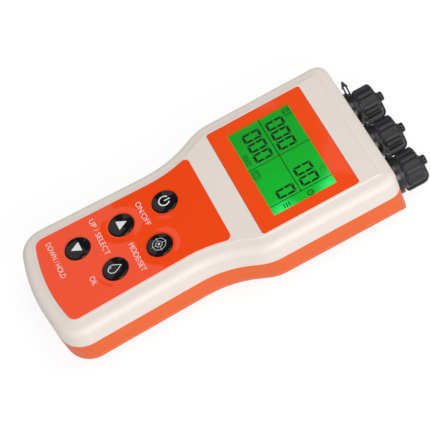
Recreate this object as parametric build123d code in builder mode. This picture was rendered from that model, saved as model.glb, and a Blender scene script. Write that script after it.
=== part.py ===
from build123d import *
from math import cos, radians, sin, sqrt
import os

os.makedirs("parts", exist_ok=True)

# Case: the outline seen from the front, then its section
case_length = 205.0
case_height = 35.0
head_half_width = 50.0
head_length = 75.2
shoulder_out_radius = 26.0
shoulder_in_radius = 60.0
shoulder_angle = 27.0
shoulder_slope_length = 5.35
grip_flare = 1.7
end_arc_radius = 124.0
grip_corner = 15.0
end_corner = 7.5
back_height = 21.0
back_edge_radius = 10.4
front_edge_radius = 5.0
wall = 2.5
half_length = case_length / 2

# Front face: a flat plateau inside a slightly lower border
plateau_inset = 7.9
plateau_end_inset = 6.7
plateau_step = 0.9
plateau_edge = 0.6
smallest_corner = 0.8

# Display window
window_end_gap = 19.0
window_length = 59.4
window_side_gap = 9.7
window_half_width = head_half_width - window_side_gap
window_corner = 1.8
frame_thickness = 1.6
screen_side_gap = 7.4
screen_half_width = window_half_width - screen_side_gap
screen_length = 38.5
lens_thickness = 0.8
lens_lip = 0.8
glass_lip = 1.3
glass_thickness = 2.0
fit_gap = 0.3
loose_gap = 0.15

# Keypad
keypad_gap = 15.5
keypad_inset = 9.5
keypad_corner = 3.0
overlay_thickness = 0.4
overlay_recess = 0.3
key_radius = 7.5
key_height = 1.2
key_crown = 0.35
key_edge_radius = 0.6
key_gap = 0.25
key_flange = 1.1
key_flange_thickness = 1.2
key_travel = 0.6
stem_radius = 1.75
stem_gap = 0.1
key_column_left = -12.0
key_column_right = 13.2
first_key_gap = 22.8
key_pitch = 13.7

# Board, switches and the posts that carry them
board_thickness = 1.6
board_half_width = head_half_width - 12.0
board_grip_half_width = 26.0
board_end_gap = 8.5
board_post_radius = 2.6
board_post_inset = 4.0
board_post_end_gap = 17.5
board_post_handle_gap = 18.5
part_row_gap = 11.4
board_screw_radius = 1.25
board_screw_length = (case_height - back_height) / 2
screw_bore_gap = 0.03
switch_size = 6.0
switch_height_share = 0.358

# Case screws
case_post_radius = 3.4
case_post_end_gap = 12.0
waist_post_inset = 17.6
waist_post_gap = 32.1
handle_post_inset = 28.0
handle_post_gap = 7.0
case_screw_radius = 1.4
case_screw_head_radius = 2.6
case_screw_head_height = 2.4
case_screw_seat = 8.0
case_screw_bite = (case_height - back_height) * 0.6

# Battery bay
cell_radius = 7.1
cell_body_length = 49.5
cell_tip_length = 1.0
cell_tip_radius = 2.75
cell_pitch = 14.6
cell_count = 4
bay_side_gap = 0.6
bay_wall = 1.7
bay_end_gap = 13.5
contact_thickness = 0.6
contact_dimple = 0.8
spring_space = 4.4
cover_thickness = 1.8
cover_ledge = 1.3
cover_pad_thickness = 1.1
bay_roof_gap = 0.4
bay_roof = 1.2
tab_width = 6.0
tab_thickness = 1.4
tab_reach = 1.6
tab_spacing = 32.0
tab_slot_gap = 0.6
pad_side_gap = 4.0
grip_line_gap = 7.0
grip_line_pitch = 2.4
grip_line_length = 16.0
grip_line_width = 1.2

# Probe sockets on the connector end
socket_count = 3
socket_pitch = head_half_width * 0.54
socket_height = 12.0
socket_radius = 8.0
socket_shift_share = 0.7805
socket_hole_gap = 0.1
socket_bore = 6.2
socket_gasket = 1.2
flange_gap = 4.6
flange_radius = (socket_pitch - flange_gap) / 2
flange_thickness = 1.8
neck_length = 4.5
collar_thickness = 1.2
collar_across_flats = 17.8
spigot_engagement = 7.0
barrel_length = 16.0
nut_across_flats = 18.4
nut_thickness = 2.6
pin_circle = 3.4
pin_radius = 0.6
pin_tail = 3.0
pin_front = 2.6
insert_depth = 3.4

# Dust caps and their tethers
cap_radius = 10.0
cap_length = 9.7
cap_wall = 1.65
cap_front = 3.0
cap_step = 1.3
cap_step_radius = 8.6
cap_rib_count = 14
cap_groove_radius = 1.1
cap_seal = 1.0
button_stem_radius = 1.6
button_head_radius = 2.8
button_head_height = 2.1
button_inner_radius = 3.0
button_inner_height = 0.8
running_gap = 0.1
strap_thickness = 0.9
strap_width = 4.0
strap_standoff = 1.0
strap_bend = 1.4
strap_angle = -60.0
tail_angle = 143.0
tail_length = 18.3
tail_width = 2.8
tail_head_width = 4.6
tail_head_length = 4.6
tail_slot_width = 1.1


def case_shape(inset, end_inset=None, extra=0.0, corner=None):
    """The case outline drawn in by inset, its connector end moved out by extra."""
    end_inset = inset if end_inset is None else end_inset
    corner = max(end_corner - inset, smallest_corner) if corner is None else corner
    end_y = half_length - end_inset + extra
    with BuildSketch() as outline:
        with BuildLine():
            head_side = Line(
                (head_half_width - inset, end_y),
                (head_half_width - inset, half_length - head_length),
            )
            out_bend = JernArc(
                head_side @ 1, head_side % 1, shoulder_out_radius - inset, -shoulder_angle
            )
            slope = Line(out_bend @ 1, (out_bend @ 1) + shoulder_slope_length * (out_bend % 1))
            in_bend = JernArc(
                slope @ 1, slope % 1, shoulder_in_radius + inset, shoulder_angle + grip_flare
            )
            arc_centre = Vector(0, end_arc_radius - half_length)
            offset_start = (in_bend @ 1) - arc_centre
            along = offset_start.dot(in_bend % 1)
            radius = end_arc_radius - inset
            grip_length = sqrt(along**2 - offset_start.dot(offset_start) + radius**2) - along
            grip_side = Line(in_bend @ 1, (in_bend @ 1) + grip_length * (in_bend % 1))
            mirror(about=Plane.YZ)
            Line((head_half_width - inset, end_y), (inset - head_half_width, end_y))
            handle_end = grip_side @ 1
            ThreePointArc(handle_end, (0, inset - half_length), (-handle_end.X, handle_end.Y))
        make_face()
        fillet(outline.vertices().group_by(Axis.Y)[0], grip_corner - inset)
        if corner > 0:
            fillet(outline.vertices().group_by(Axis.Y)[-1], corner)
    return outline.sketch


def back_form(inset):
    """The closed form of the back shell, drawn in by inset on every side."""
    run_out = 4 * end_corner
    with BuildPart() as form:
        with BuildSketch(Plane.XY.offset(inset)):
            add(case_shape(inset, extra=run_out, corner=0))
        extrude(amount=back_height - inset)
        rounded = form.faces().sort_by(Axis.Z)[0].edges().sort_by(Axis.Y)[:-1]
        fillet(rounded, back_edge_radius - inset)
        with BuildSketch(Plane.XY.offset(inset)):
            add(case_shape(inset))
        extrude(amount=back_height - inset, mode=Mode.INTERSECT)
    return form.part


def front_form():
    """The closed outer form of the front shell, with its raised plateau."""
    border_height = case_height - plateau_step
    with BuildPart() as form:
        with BuildSketch(Plane.XY.offset(back_height)):
            add(case_shape(0))
        extrude(amount=border_height - back_height)
        fillet(form.faces().sort_by(Axis.Z)[-1].edges(), front_edge_radius)
        with BuildSketch(Plane.XY.offset(border_height)):
            add(case_shape(plateau_inset, plateau_end_inset))
        extrude(amount=plateau_step)
        chamfer(form.faces().sort_by(Axis.Z)[-1].edges(), plateau_edge)
    return form.part


def front_hollow():
    """The inside of the front shell."""
    with BuildPart() as hollow:
        with BuildSketch(Plane.XY.offset(back_height)):
            add(case_shape(wall))
        extrude(amount=face_underside - back_height)
        fillet(hollow.faces().sort_by(Axis.Z)[-1].edges(), front_edge_radius - wall)
    return hollow.part


# Heights and places that several pieces share
face_underside = case_height - wall + loose_gap
window_centre_y = half_length - window_end_gap - window_length / 2
screen_centre_y = window_centre_y - loose_gap
frame_seat = case_height - frame_thickness
keypad_top = half_length - window_end_gap - window_length - keypad_gap
glass_top = frame_seat - loose_gap
glass_half_width = screen_half_width + glass_lip
glass_half_length = screen_length / 2 + glass_lip
board_top = back_height + board_thickness
board_room = face_underside - board_top
switch_height = board_room * switch_height_share
switch_bore_depth = switch_height * 0.55
stem_insertion = switch_height / 4
first_key_y = keypad_top - first_key_gap
keys = {
    "power": (key_column_left, first_key_y),
    "target": (key_column_right, first_key_y - key_pitch),
    "up": (key_column_left, first_key_y - 2 * key_pitch),
    "drop": (key_column_right, first_key_y - 3 * key_pitch),
    "down": (key_column_left, first_key_y - 4 * key_pitch),
}
key_places = list(keys.values())
board_post_places = [
    (side * across, along)
    for side in (-1, 1)
    for across, along in (
        (board_half_width - board_post_inset, half_length - board_post_end_gap),
        (board_half_width - board_post_inset, keypad_top + part_row_gap),
        (board_grip_half_width - board_post_inset, board_post_handle_gap - half_length),
    )
]
case_post_places = [
    (side * across, along)
    for side in (-1, 1)
    for across, along in (
        (head_half_width - end_corner, half_length - case_post_end_gap),
        (head_half_width - waist_post_inset, keypad_top - waist_post_gap),
        (head_half_width - handle_post_inset, handle_post_gap - half_length),
    )
]
cell_height = cover_thickness + cover_pad_thickness + cell_radius
bay_half_width = cell_pitch * cell_count / 2 + bay_side_gap
bay_length = (
    cell_body_length + cell_tip_length + 2 * contact_thickness + contact_dimple + spring_space
)
bay_low_y = -half_length + bay_end_gap
bay_high_y = bay_low_y + bay_length
bay_centre_y = (bay_low_y + bay_high_y) / 2
bay_top = cell_height + cell_radius + bay_roof_gap
socket_room = head_half_width - end_corner - case_post_radius - socket_radius
socket_group_x = (socket_room - socket_pitch) * socket_shift_share
socket_places = [
    socket_group_x + (index - (socket_count - 1) / 2) * socket_pitch
    for index in range(socket_count)
]
flange_y = half_length + socket_gasket
neck_y = flange_y + flange_thickness
collar_y = neck_y + neck_length - collar_thickness
cap_y = neck_y + neck_length
spigot_end_y = cap_y + spigot_engagement
cap_inner_y = spigot_end_y + cap_seal
cap_face_y = cap_inner_y + cap_front


def socket_plane(place, along):
    """A plane square to one socket's axis, facing away from the case."""
    return Plane(origin=(place, along, socket_height), x_dir=(1, 0, 0), z_dir=(0, 1, 0))


def radial_plane(place, angle):
    """A plane through one socket's axis: its x runs out from the axis, its y along it."""
    outward = Vector(cos(radians(angle)), 0, sin(radians(angle)))
    return Plane(
        origin=(place, 0, socket_height), x_dir=outward, z_dir=outward.cross(Vector(0, 1, 0))
    )


# Back shell: deep tray with the battery bay, screw posts and socket holes
with BuildPart() as back_fittings:
    with BuildSketch(Plane.XY):
        with Locations((0, bay_centre_y)):
            Rectangle(2 * (bay_half_width + bay_wall), bay_length + 2 * bay_wall)
    extrude(amount=bay_top + bay_roof)
    with BuildSketch(Plane.XY):
        with Locations(*case_post_places):
            Circle(case_post_radius)
    extrude(amount=back_height)
    add(back_form(wall / 2), mode=Mode.INTERSECT)

with BuildPart() as back_shell:
    add(back_form(0))
    add(back_form(wall), mode=Mode.SUBTRACT)
    add(back_fittings.part)
    with BuildSketch(Plane.XY.offset(cover_thickness)):
        with Locations((0, bay_centre_y)):
            Rectangle(2 * bay_half_width, bay_length)
    extrude(amount=bay_top - cover_thickness, mode=Mode.SUBTRACT)
    with BuildSketch(Plane.XY):
        with Locations((0, bay_centre_y)):
            Rectangle(2 * (bay_half_width + cover_ledge), bay_length + 2 * cover_ledge)
    extrude(amount=cover_thickness, mode=Mode.SUBTRACT)
    with BuildSketch(Plane.XY.offset(wall)):
        with Locations((-tab_spacing / 2, bay_high_y), (tab_spacing / 2, bay_high_y)):
            Rectangle(tab_width + 2 * tab_slot_gap, 2 * (bay_wall + fit_gap))
    extrude(amount=2 * tab_thickness + fit_gap, mode=Mode.SUBTRACT)
    with BuildSketch(Plane.XY):
        with Locations(*case_post_places):
            Circle(case_screw_head_radius + fit_gap)
    extrude(amount=case_screw_seat, mode=Mode.SUBTRACT)
    with BuildSketch(Plane.XY):
        with Locations(*case_post_places):
            Circle(case_screw_radius + fit_gap)
    extrude(amount=back_height, mode=Mode.SUBTRACT)
    for place in socket_places:
        with BuildSketch(socket_plane(place, half_length - 2 * wall)):
            Circle(socket_radius + socket_hole_gap)
        extrude(amount=3 * wall, mode=Mode.SUBTRACT)
    with BuildSketch(Plane.XY.offset(back_height)):
        add(case_shape(wall * 0.35))
        add(case_shape(wall * 0.7), mode=Mode.SUBTRACT)
    extrude(amount=-overlay_thickness * 2, mode=Mode.SUBTRACT)

back_shell.part.label = "back_shell"
export_step(back_shell.part, "parts/back_shell.step")

# Seam gasket: a flat cord ring let into the rim of the back shell
with BuildPart() as seam_gasket:
    with BuildSketch(Plane.XY.offset(back_height)):
        add(case_shape(wall * 0.35))
        add(case_shape(wall * 0.7), mode=Mode.SUBTRACT)
    extrude(amount=-overlay_thickness * 2)

seam_gasket.part.label = "seam_gasket"
export_step(seam_gasket.part, "parts/seam_gasket.step")


def keypad_shape(grow=0.0):
    """The keypad's outline: the case outline drawn in, cut straight at the top."""
    with BuildSketch() as pad:
        add(case_shape(keypad_inset - grow))
        with Locations((0, keypad_top + grow)):
            Rectangle(
                2 * head_half_width, case_length, align=(Align.CENTER, Align.MIN), mode=Mode.SUBTRACT
            )
        fillet(pad.vertices().group_by(Axis.Y)[-1], keypad_corner)
    return pad.sketch


# Front shell: shallow lid with the window and keypad recesses and the board posts
with BuildPart() as front_shell:
    add(front_form())
    add(front_hollow(), mode=Mode.SUBTRACT)
    with BuildSketch(Plane.XY.offset(face_underside)):
        with Locations(*board_post_places):
            Circle(board_post_radius)
    extrude(amount=board_top - face_underside)
    with BuildSketch(Plane.XY.offset(face_underside)):
        with Locations(*case_post_places):
            Circle(case_post_radius)
    extrude(amount=back_height - face_underside)
    with BuildSketch(Plane.XY.offset(frame_seat)):
        with Locations((0, window_centre_y)):
            RectangleRounded(
                2 * (window_half_width + loose_gap), window_length + 2 * loose_gap, window_corner
            )
    extrude(amount=case_height - frame_seat, mode=Mode.SUBTRACT)
    with BuildSketch(Plane.XY.offset(face_underside)):
        with Locations((0, screen_centre_y)):
            Rectangle(2 * (glass_half_width + fit_gap), 2 * (glass_half_length + fit_gap))
    extrude(amount=frame_seat - face_underside, mode=Mode.SUBTRACT)
    with BuildSketch(Plane.XY.offset(case_height - overlay_recess)):
        add(keypad_shape(loose_gap))
    extrude(amount=overlay_recess, mode=Mode.SUBTRACT)
    with BuildSketch(Plane.XY.offset(face_underside)):
        with Locations(*key_places):
            Circle(key_radius + key_gap)
    extrude(amount=case_height - face_underside, mode=Mode.SUBTRACT)
    with BuildSketch(Plane.XY.offset(back_height)):
        with Locations(*case_post_places):
            Circle(case_screw_radius + screw_bore_gap)
    extrude(amount=case_screw_bite + screw_bore_gap, mode=Mode.SUBTRACT)
    with BuildSketch(Plane.XY.offset(board_top)):
        with Locations(*board_post_places):
            Circle(board_screw_radius + screw_bore_gap)
    extrude(amount=board_screw_length - board_thickness + screw_bore_gap, mode=Mode.SUBTRACT)

front_shell.part.label = "front_shell"
export_step(front_shell.part, "parts/front_shell.step")

# Keypad overlay: thin printed sheet let into the face round the keys
with BuildPart() as keypad_overlay:
    with BuildSketch(Plane.XY.offset(case_height - overlay_recess)):
        add(keypad_shape())
        with Locations(*key_places):
            Circle(key_radius + key_gap, mode=Mode.SUBTRACT)
    extrude(amount=overlay_thickness)

keypad_overlay.part.label = "keypad_overlay"
export_step(keypad_overlay.part, "parts/keypad_overlay.step")

# Display frame: flush surround with a rebate behind it for the clear lens
with BuildPart() as display_frame:
    with BuildSketch(Plane.XY.offset(frame_seat)):
        with Locations((0, window_centre_y)):
            RectangleRounded(2 * window_half_width, window_length, window_corner - loose_gap)
        with Locations((0, screen_centre_y)):
            Rectangle(2 * screen_half_width, screen_length, mode=Mode.SUBTRACT)
    extrude(amount=frame_thickness)
    with BuildSketch(Plane.XY.offset(frame_seat)):
        with Locations((0, screen_centre_y)):
            Rectangle(
                2 * (screen_half_width + lens_lip + loose_gap),
                screen_length + 2 * (lens_lip + loose_gap),
            )
    extrude(amount=lens_thickness, mode=Mode.SUBTRACT)

display_frame.part.label = "display_frame"
export_step(display_frame.part, "parts/display_frame.step")

# Display lens: clear sheet glued up into the frame's rebate
with BuildPart() as display_lens:
    with BuildSketch(Plane.XY.offset(frame_seat)):
        with Locations((0, screen_centre_y)):
            Rectangle(2 * (screen_half_width + lens_lip), screen_length + 2 * lens_lip)
    extrude(amount=lens_thickness)

display_lens.part.label = "display_lens"
export_step(display_lens.part, "parts/display_lens.step")

# Display glass, the light guide behind it and the holder round both
glass_bottom = glass_top - glass_thickness
holder_wall = 2.4
holder_ledge = 1.1
strip_width = 2.0
with BuildPart() as display_glass:
    with BuildSketch(Plane.XY.offset(glass_bottom)):
        with Locations((0, screen_centre_y)):
            Rectangle(2 * glass_half_width, 2 * glass_half_length)
    extrude(amount=glass_thickness)

display_glass.part.label = "display_glass"
export_step(display_glass.part, "parts/display_glass.step")

with BuildPart() as display_holder:
    with BuildSketch(Plane.XY.offset(board_top)):
        with Locations((0, screen_centre_y)):
            Rectangle(
                2 * (glass_half_width + holder_wall), 2 * (glass_half_length + holder_wall)
            )
            Rectangle(
                2 * (glass_half_width - holder_ledge),
                2 * (glass_half_length - holder_ledge),
                mode=Mode.SUBTRACT,
            )
    extrude(amount=face_underside - loose_gap - board_top)
    with BuildSketch(Plane.XY.offset(glass_bottom)):
        with Locations((0, screen_centre_y)):
            Rectangle(2 * (glass_half_width + loose_gap), 2 * (glass_half_length + loose_gap))
    extrude(amount=glass_thickness, mode=Mode.SUBTRACT)

display_holder.part.label = "display_holder"
export_step(display_holder.part, "parts/display_holder.step")

backlight_half_length = glass_half_length - holder_ledge - strip_width - 2 * fit_gap
with BuildPart() as backlight:
    with BuildSketch(Plane.XY.offset(board_top)):
        with Locations((0, screen_centre_y)):
            Rectangle(2 * (glass_half_width - holder_ledge - fit_gap), 2 * backlight_half_length)
    extrude(amount=glass_bottom - board_top)

backlight.part.label = "backlight"
export_step(backlight.part, "parts/backlight.step")

for side, name in ((-1, "contact_strip_lower"), (1, "contact_strip_upper")):
    with BuildPart() as contact_strip:
        with BuildSketch(Plane.XY.offset(board_top)):
            strip_y = backlight_half_length + fit_gap / 2 + strip_width / 2
            with Locations((0, screen_centre_y + side * strip_y)):
                Rectangle(2 * (glass_half_width - holder_ledge - 2 * fit_gap), strip_width)
        extrude(amount=glass_bottom - board_top)
    contact_strip.part.label = name
    export_step(contact_strip.part, f"parts/{name}.step")

# Main board: wide under the display, narrow under the keys
with BuildPart() as main_board:
    with BuildSketch(Plane.XY.offset(back_height)) as board_outline:
        head_low = keypad_top
        head_high = half_length - board_end_gap
        grip_low = -half_length + board_end_gap + 6.0
        with Locations((0, (head_low + head_high) / 2)):
            Rectangle(2 * board_half_width, head_high - head_low)
        with Locations((0, (grip_low + head_low) / 2)):
            Rectangle(2 * board_grip_half_width, head_low - grip_low)
        fillet(board_outline.vertices().group_by(Axis.Y)[-1], window_corner)
        with Locations(*board_post_places):
            Circle(board_screw_radius + fit_gap, mode=Mode.SUBTRACT)
    extrude(amount=board_thickness)

main_board.part.label = "main_board"
export_step(main_board.part, "parts/main_board.step")

# Board screws: pan heads below the board, threads up into the posts
with BuildPart() as board_screws:
    with BuildSketch(Plane.XY.offset(back_height)):
        with Locations(*board_post_places):
            Circle(2 * board_screw_radius)
    extrude(amount=-board_screw_radius)
    with BuildSketch(Plane.XY.offset(back_height)):
        with Locations(*board_post_places):
            Circle(board_screw_radius)
    extrude(amount=board_screw_length)

board_screws.part.label = "board_screws"
export_step(board_screws.part, "parts/board_screws.step")

# Case screws: heads sunk in the back posts, threads up into the front posts
with BuildPart() as case_screws:
    with BuildSketch(Plane.XY.offset(case_screw_seat)):
        with Locations(*case_post_places):
            Circle(case_screw_head_radius)
    extrude(amount=-case_screw_head_height)
    with BuildSketch(Plane.XY.offset(case_screw_seat - case_screw_head_height)):
        with Locations(*case_post_places):
            RegularPolygon(radius=case_screw_radius, side_count=6)
    extrude(amount=case_screw_head_height / 2, mode=Mode.SUBTRACT)
    with BuildSketch(Plane.XY.offset(case_screw_seat)):
        with Locations(*case_post_places):
            Circle(case_screw_radius)
    extrude(amount=back_height + case_screw_bite - case_screw_seat)

case_screws.part.label = "case_screws"
export_step(case_screws.part, "parts/case_screws.step")

# Chips, header and buzzer on the board
chip_size = 12.0
chip_height = 1.6
header_length = 20.0
header_depth = 5.0
header_height = board_room / 2
buzzer_radius = 6.0
buzzer_height = board_room * 0.55
part_row_y = keypad_top + part_row_gap
buzzer_x = board_half_width - board_post_inset - 2 * buzzer_radius
with BuildPart() as board_chips:
    with BuildSketch(Plane.XY.offset(board_top)):
        with Locations((-chip_size, part_row_y), (chip_size / 2, part_row_y)):
            Rectangle(chip_size, chip_size)
    extrude(amount=chip_height)

board_chips.part.label = "board_chips"
export_step(board_chips.part, "parts/board_chips.step")

with BuildPart() as socket_header:
    with BuildSketch(Plane.XY.offset(board_top)):
        with Locations((0, half_length - board_end_gap - header_depth)):
            Rectangle(header_length, header_depth)
    extrude(amount=header_height)

socket_header.part.label = "socket_header"
export_step(socket_header.part, "parts/socket_header.step")

with BuildPart() as buzzer:
    with BuildSketch(Plane.XY.offset(board_top)):
        with Locations((buzzer_x, part_row_y)):
            Circle(buzzer_radius)
    extrude(amount=buzzer_height)
    with BuildSketch(Plane.XY.offset(board_top + buzzer_height)):
        with Locations((buzzer_x, part_row_y)):
            Circle(buzzer_radius / 5)
    extrude(amount=-buzzer_height / 4, mode=Mode.SUBTRACT)

buzzer.part.label = "buzzer"
export_step(buzzer.part, "parts/buzzer.step")


def key_solid(place):
    """One round key: crowned cap, retaining flange and the stem that enters its switch."""
    across, along = place
    flange_top = face_underside - 2 * loose_gap
    flange_low = flange_top - key_flange_thickness
    stem_low = board_top + switch_height - stem_insertion
    key_top = case_height + key_height
    with BuildPart() as key:
        key_plane = Plane(origin=(across, along, 0), x_dir=(1, 0, 0), z_dir=(0, -1, 0))
        with BuildSketch(key_plane) as profile:
            with BuildLine():
                Polyline(
                    (0, key_top),
                    (0, stem_low),
                    (stem_radius, stem_low),
                    (stem_radius, flange_low),
                    (key_radius + key_flange, flange_low),
                    (key_radius + key_flange, flange_top),
                    (key_radius, flange_top),
                    (key_radius, key_top - key_crown),
                )
                TangentArc((0, key_top), (key_radius, key_top - key_crown), tangent=(1, 0))
            make_face()
            fillet(profile.vertices().sort_by(Axis.Y)[-2], key_edge_radius)
        revolve(axis=Axis((across, along, 0), (0, 0, 1)))
    return key.part


def switch_solid(place):
    """One board switch: square housing with a round well for the key's stem."""
    with BuildPart() as switch:
        with BuildSketch(Plane.XY.offset(board_top)):
            with Locations(place):
                Rectangle(switch_size, switch_size)
        extrude(amount=switch_height)
        with BuildSketch(Plane.XY.offset(board_top + switch_height)):
            with Locations(place):
                Circle(stem_radius + stem_gap)
        extrude(amount=-switch_bore_depth, mode=Mode.SUBTRACT)
    return switch.part


for name, place in keys.items():
    key_part = key_solid(place)
    key_part.label = f"key_{name}"
    export_step(key_part, f"parts/key_{name}.step")
    switch_part = switch_solid(place)
    switch_part.label = f"switch_{name}"
    export_step(switch_part, f"parts/switch_{name}.step")

# Battery cells, alternately reversed, with a spring at each flat end
for index in range(cell_count):
    across = (index - (cell_count - 1) / 2) * cell_pitch
    facing = 1 if index % 2 == 0 else -1
    tip_wall_y = bay_high_y if facing == 1 else bay_low_y
    tip_y = tip_wall_y - facing * (contact_thickness + contact_dimple)
    base_y = tip_y - facing * (cell_body_length + cell_tip_length)
    cell_plane = Plane(
        origin=(across, base_y, cell_height), x_dir=(facing, 0, 0), z_dir=(0, facing, 0)
    )
    with BuildPart() as cell:
        with BuildSketch(cell_plane):
            Circle(cell_radius)
        extrude(amount=cell_body_length)
        with BuildSketch(cell_plane.offset(cell_body_length)):
            Circle(cell_tip_radius)
        extrude(amount=cell_tip_length)
    cell.part.label = f"battery_cell_{index + 1}"
    export_step(cell.part, f"parts/battery_cell_{index + 1}.step")


def contact_places(facing):
    """The bay wall side and the cells' places for the springs or the plates."""
    return [
        (
            (index - (cell_count - 1) / 2) * cell_pitch,
            facing if index % 2 == 0 else -facing,
        )
        for index in range(cell_count)
    ]


# Contact plates at the cells' tips, each with a round dimple
with BuildPart() as battery_plates:
    for across, side in contact_places(1):
        wall_y = bay_high_y if side == 1 else bay_low_y
        plate_plane = Plane(
            origin=(across, wall_y, cell_height), x_dir=(-side, 0, 0), z_dir=(0, -side, 0)
        )
        with BuildSketch(plate_plane):
            Rectangle(cell_radius * 1.5, cell_radius * 1.5)
        extrude(amount=contact_thickness)
        with BuildSketch(plate_plane.offset(contact_thickness)):
            Circle(cell_tip_radius)
        extrude(amount=contact_dimple)

battery_plates.part.label = "battery_plates"
export_step(battery_plates.part, "parts/battery_plates.step")

# Leaf springs at the cells' flat ends: a back plate and a tongue that leans on the cell
with BuildPart() as battery_springs:
    for across, side in contact_places(-1):
        wall_y = bay_high_y if side == 1 else bay_low_y
        reach = contact_thickness + spring_space
        with BuildSketch(
            Plane(origin=(across, wall_y, cell_height), x_dir=(0, -side, 0), z_dir=(side, 0, 0))
        ):
            with BuildLine():
                Polyline(
                    (0, -cell_radius * 0.75),
                    (0, cell_radius * 0.75),
                    (contact_thickness, cell_radius * 0.75),
                    (contact_thickness, contact_thickness - cell_radius * 0.75),
                    (reach - contact_thickness, -contact_thickness),
                    (reach - contact_thickness, contact_thickness),
                    (reach, contact_thickness),
                    (reach, -2 * contact_thickness),
                    (contact_thickness, -cell_radius * 0.75),
                    close=True,
                )
            make_face()
        extrude(amount=cell_radius * 0.4, both=True)

battery_springs.part.label = "battery_springs"
export_step(battery_springs.part, "parts/battery_springs.step")

# Battery cover: flush plate whose two tabs hook over the floor of the back shell
cover_low_y = bay_low_y - cover_ledge + fit_gap
cover_high_y = bay_high_y + cover_ledge - fit_gap
tab_underside = wall + fit_gap
tab_root_y = bay_high_y - fit_gap
with BuildPart() as battery_cover:
    with BuildSketch(Plane.XY):
        with Locations((0, (cover_low_y + cover_high_y) / 2)):
            Rectangle(2 * (bay_half_width + cover_ledge - fit_gap), cover_high_y - cover_low_y)
    extrude(amount=cover_thickness)
    add(back_form(0), mode=Mode.INTERSECT)
    for across in (-tab_spacing / 2, tab_spacing / 2):
        with BuildSketch(
            Plane(origin=(across, tab_root_y, 0), x_dir=(0, 1, 0), z_dir=(1, 0, 0))
        ):
            with BuildLine():
                Polyline(
                    (-tab_thickness, cover_thickness),
                    (-tab_thickness, tab_underside + tab_thickness),
                    (bay_wall + tab_reach, tab_underside + tab_thickness),
                    (bay_wall + tab_reach, tab_underside),
                    (0, tab_underside),
                    (0, cover_thickness),
                    close=True,
                )
            make_face()
        extrude(amount=tab_width / 2, both=True)
    grip_line_y = cover_low_y + grip_line_gap
    with BuildSketch(Plane.XY):
        with Locations(*[(0, grip_line_y + index * grip_line_pitch) for index in range(3)]):
            SlotOverall(grip_line_length, grip_line_width)
    extrude(amount=cover_thickness / 3, mode=Mode.SUBTRACT)

battery_cover.part.label = "battery_cover"
export_step(battery_cover.part, "parts/battery_cover.step")

# Cover pad: strip of foam that holds the cells up
with BuildPart() as cover_pad:
    with BuildSketch(Plane.XY.offset(cover_thickness)):
        with Locations((0, bay_centre_y)):
            Rectangle(2 * (bay_half_width - pad_side_gap), bay_length / 3)
    extrude(amount=cover_pad_thickness)

cover_pad.part.label = "cover_pad"
export_step(cover_pad.part, "parts/cover_pad.step")


def socket_solid(place):
    """Socket shell: barrel through the case wall, flange, collar and threaded spigot."""
    with BuildPart() as socket:
        with BuildSketch(socket_plane(place, flange_y - barrel_length)):
            Circle(socket_radius)
        extrude(amount=barrel_length + spigot_end_y - flange_y)
        with BuildSketch(socket_plane(place, flange_y)):
            Circle(flange_radius)
        extrude(amount=flange_thickness)
        with BuildSketch(socket_plane(place, collar_y)):
            RegularPolygon(radius=collar_across_flats / 2, side_count=6, major_radius=False)
        extrude(amount=collar_thickness)
        with BuildSketch(socket_plane(place, flange_y - barrel_length)):
            Circle(socket_bore)
        extrude(amount=barrel_length + spigot_end_y - flange_y, mode=Mode.SUBTRACT)
    return socket.part


def insert_solid(place):
    """Insulating insert with five contact pins in front and their tails behind."""
    low_y = flange_y - barrel_length
    high_y = spigot_end_y - insert_depth
    with BuildPart() as insert:
        with BuildSketch(socket_plane(place, low_y)):
            Circle(socket_bore - loose_gap / 3)
        extrude(amount=high_y - low_y)
        with BuildSketch(socket_plane(place, low_y - pin_tail)):
            with PolarLocations(pin_circle, 5):
                Circle(pin_radius)
        extrude(amount=pin_tail + high_y - low_y + pin_front)
    return insert.part


def nut_solid(place):
    """Hexagon nut inside the case wall."""
    with BuildPart() as nut:
        with BuildSketch(socket_plane(place, half_length - wall - nut_thickness)):
            RegularPolygon(radius=nut_across_flats / 2, side_count=6, major_radius=False)
            Circle(socket_radius + running_gap / 2, mode=Mode.SUBTRACT)
        extrude(amount=nut_thickness)
    return nut.part


def seal_solid(place):
    """Flat rubber washer between the case and the socket's flange."""
    with BuildPart() as seal:
        with BuildSketch(socket_plane(place, half_length)):
            Circle(flange_radius - running_gap * 4)
            Circle(socket_radius + running_gap, mode=Mode.SUBTRACT)
        extrude(amount=socket_gasket)
    return seal.part


def cap_solid(place):
    """Dust cap: ribbed skirt over the spigot, stepped front with a hole for the button."""
    with BuildPart() as cap:
        with BuildSketch(socket_plane(place, cap_y)):
            Circle(cap_radius)
            with PolarLocations(cap_radius + cap_groove_radius * 0.4, cap_rib_count):
                Circle(cap_groove_radius, mode=Mode.SUBTRACT)
        extrude(amount=cap_length)
        with BuildSketch(socket_plane(place, cap_y + cap_length)):
            Circle(cap_step_radius)
        extrude(amount=cap_face_y - cap_y - cap_length)
        chamfer(cap.faces().sort_by(Axis.Y)[-1].edges(), cap_step / 2)
        with BuildSketch(socket_plane(place, cap_y)):
            Circle(cap_radius - cap_wall)
        extrude(amount=cap_inner_y - cap_y, mode=Mode.SUBTRACT)
        with BuildSketch(socket_plane(place, cap_inner_y)):
            Circle(button_inner_radius + running_gap)
        extrude(amount=button_inner_height + 2 * running_gap, mode=Mode.SUBTRACT)
        with BuildSketch(socket_plane(place, cap_inner_y)):
            Circle(button_stem_radius + running_gap)
        extrude(amount=cap_front, mode=Mode.SUBTRACT)
    return cap.part


def cap_seal_solid(place):
    """Rubber disc inside the cap that presses on the spigot's end."""
    with BuildPart() as cap_disc:
        with BuildSketch(socket_plane(place, spigot_end_y)):
            Circle(cap_radius - cap_wall - running_gap)
        extrude(amount=cap_seal)
    return cap_disc.part


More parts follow.
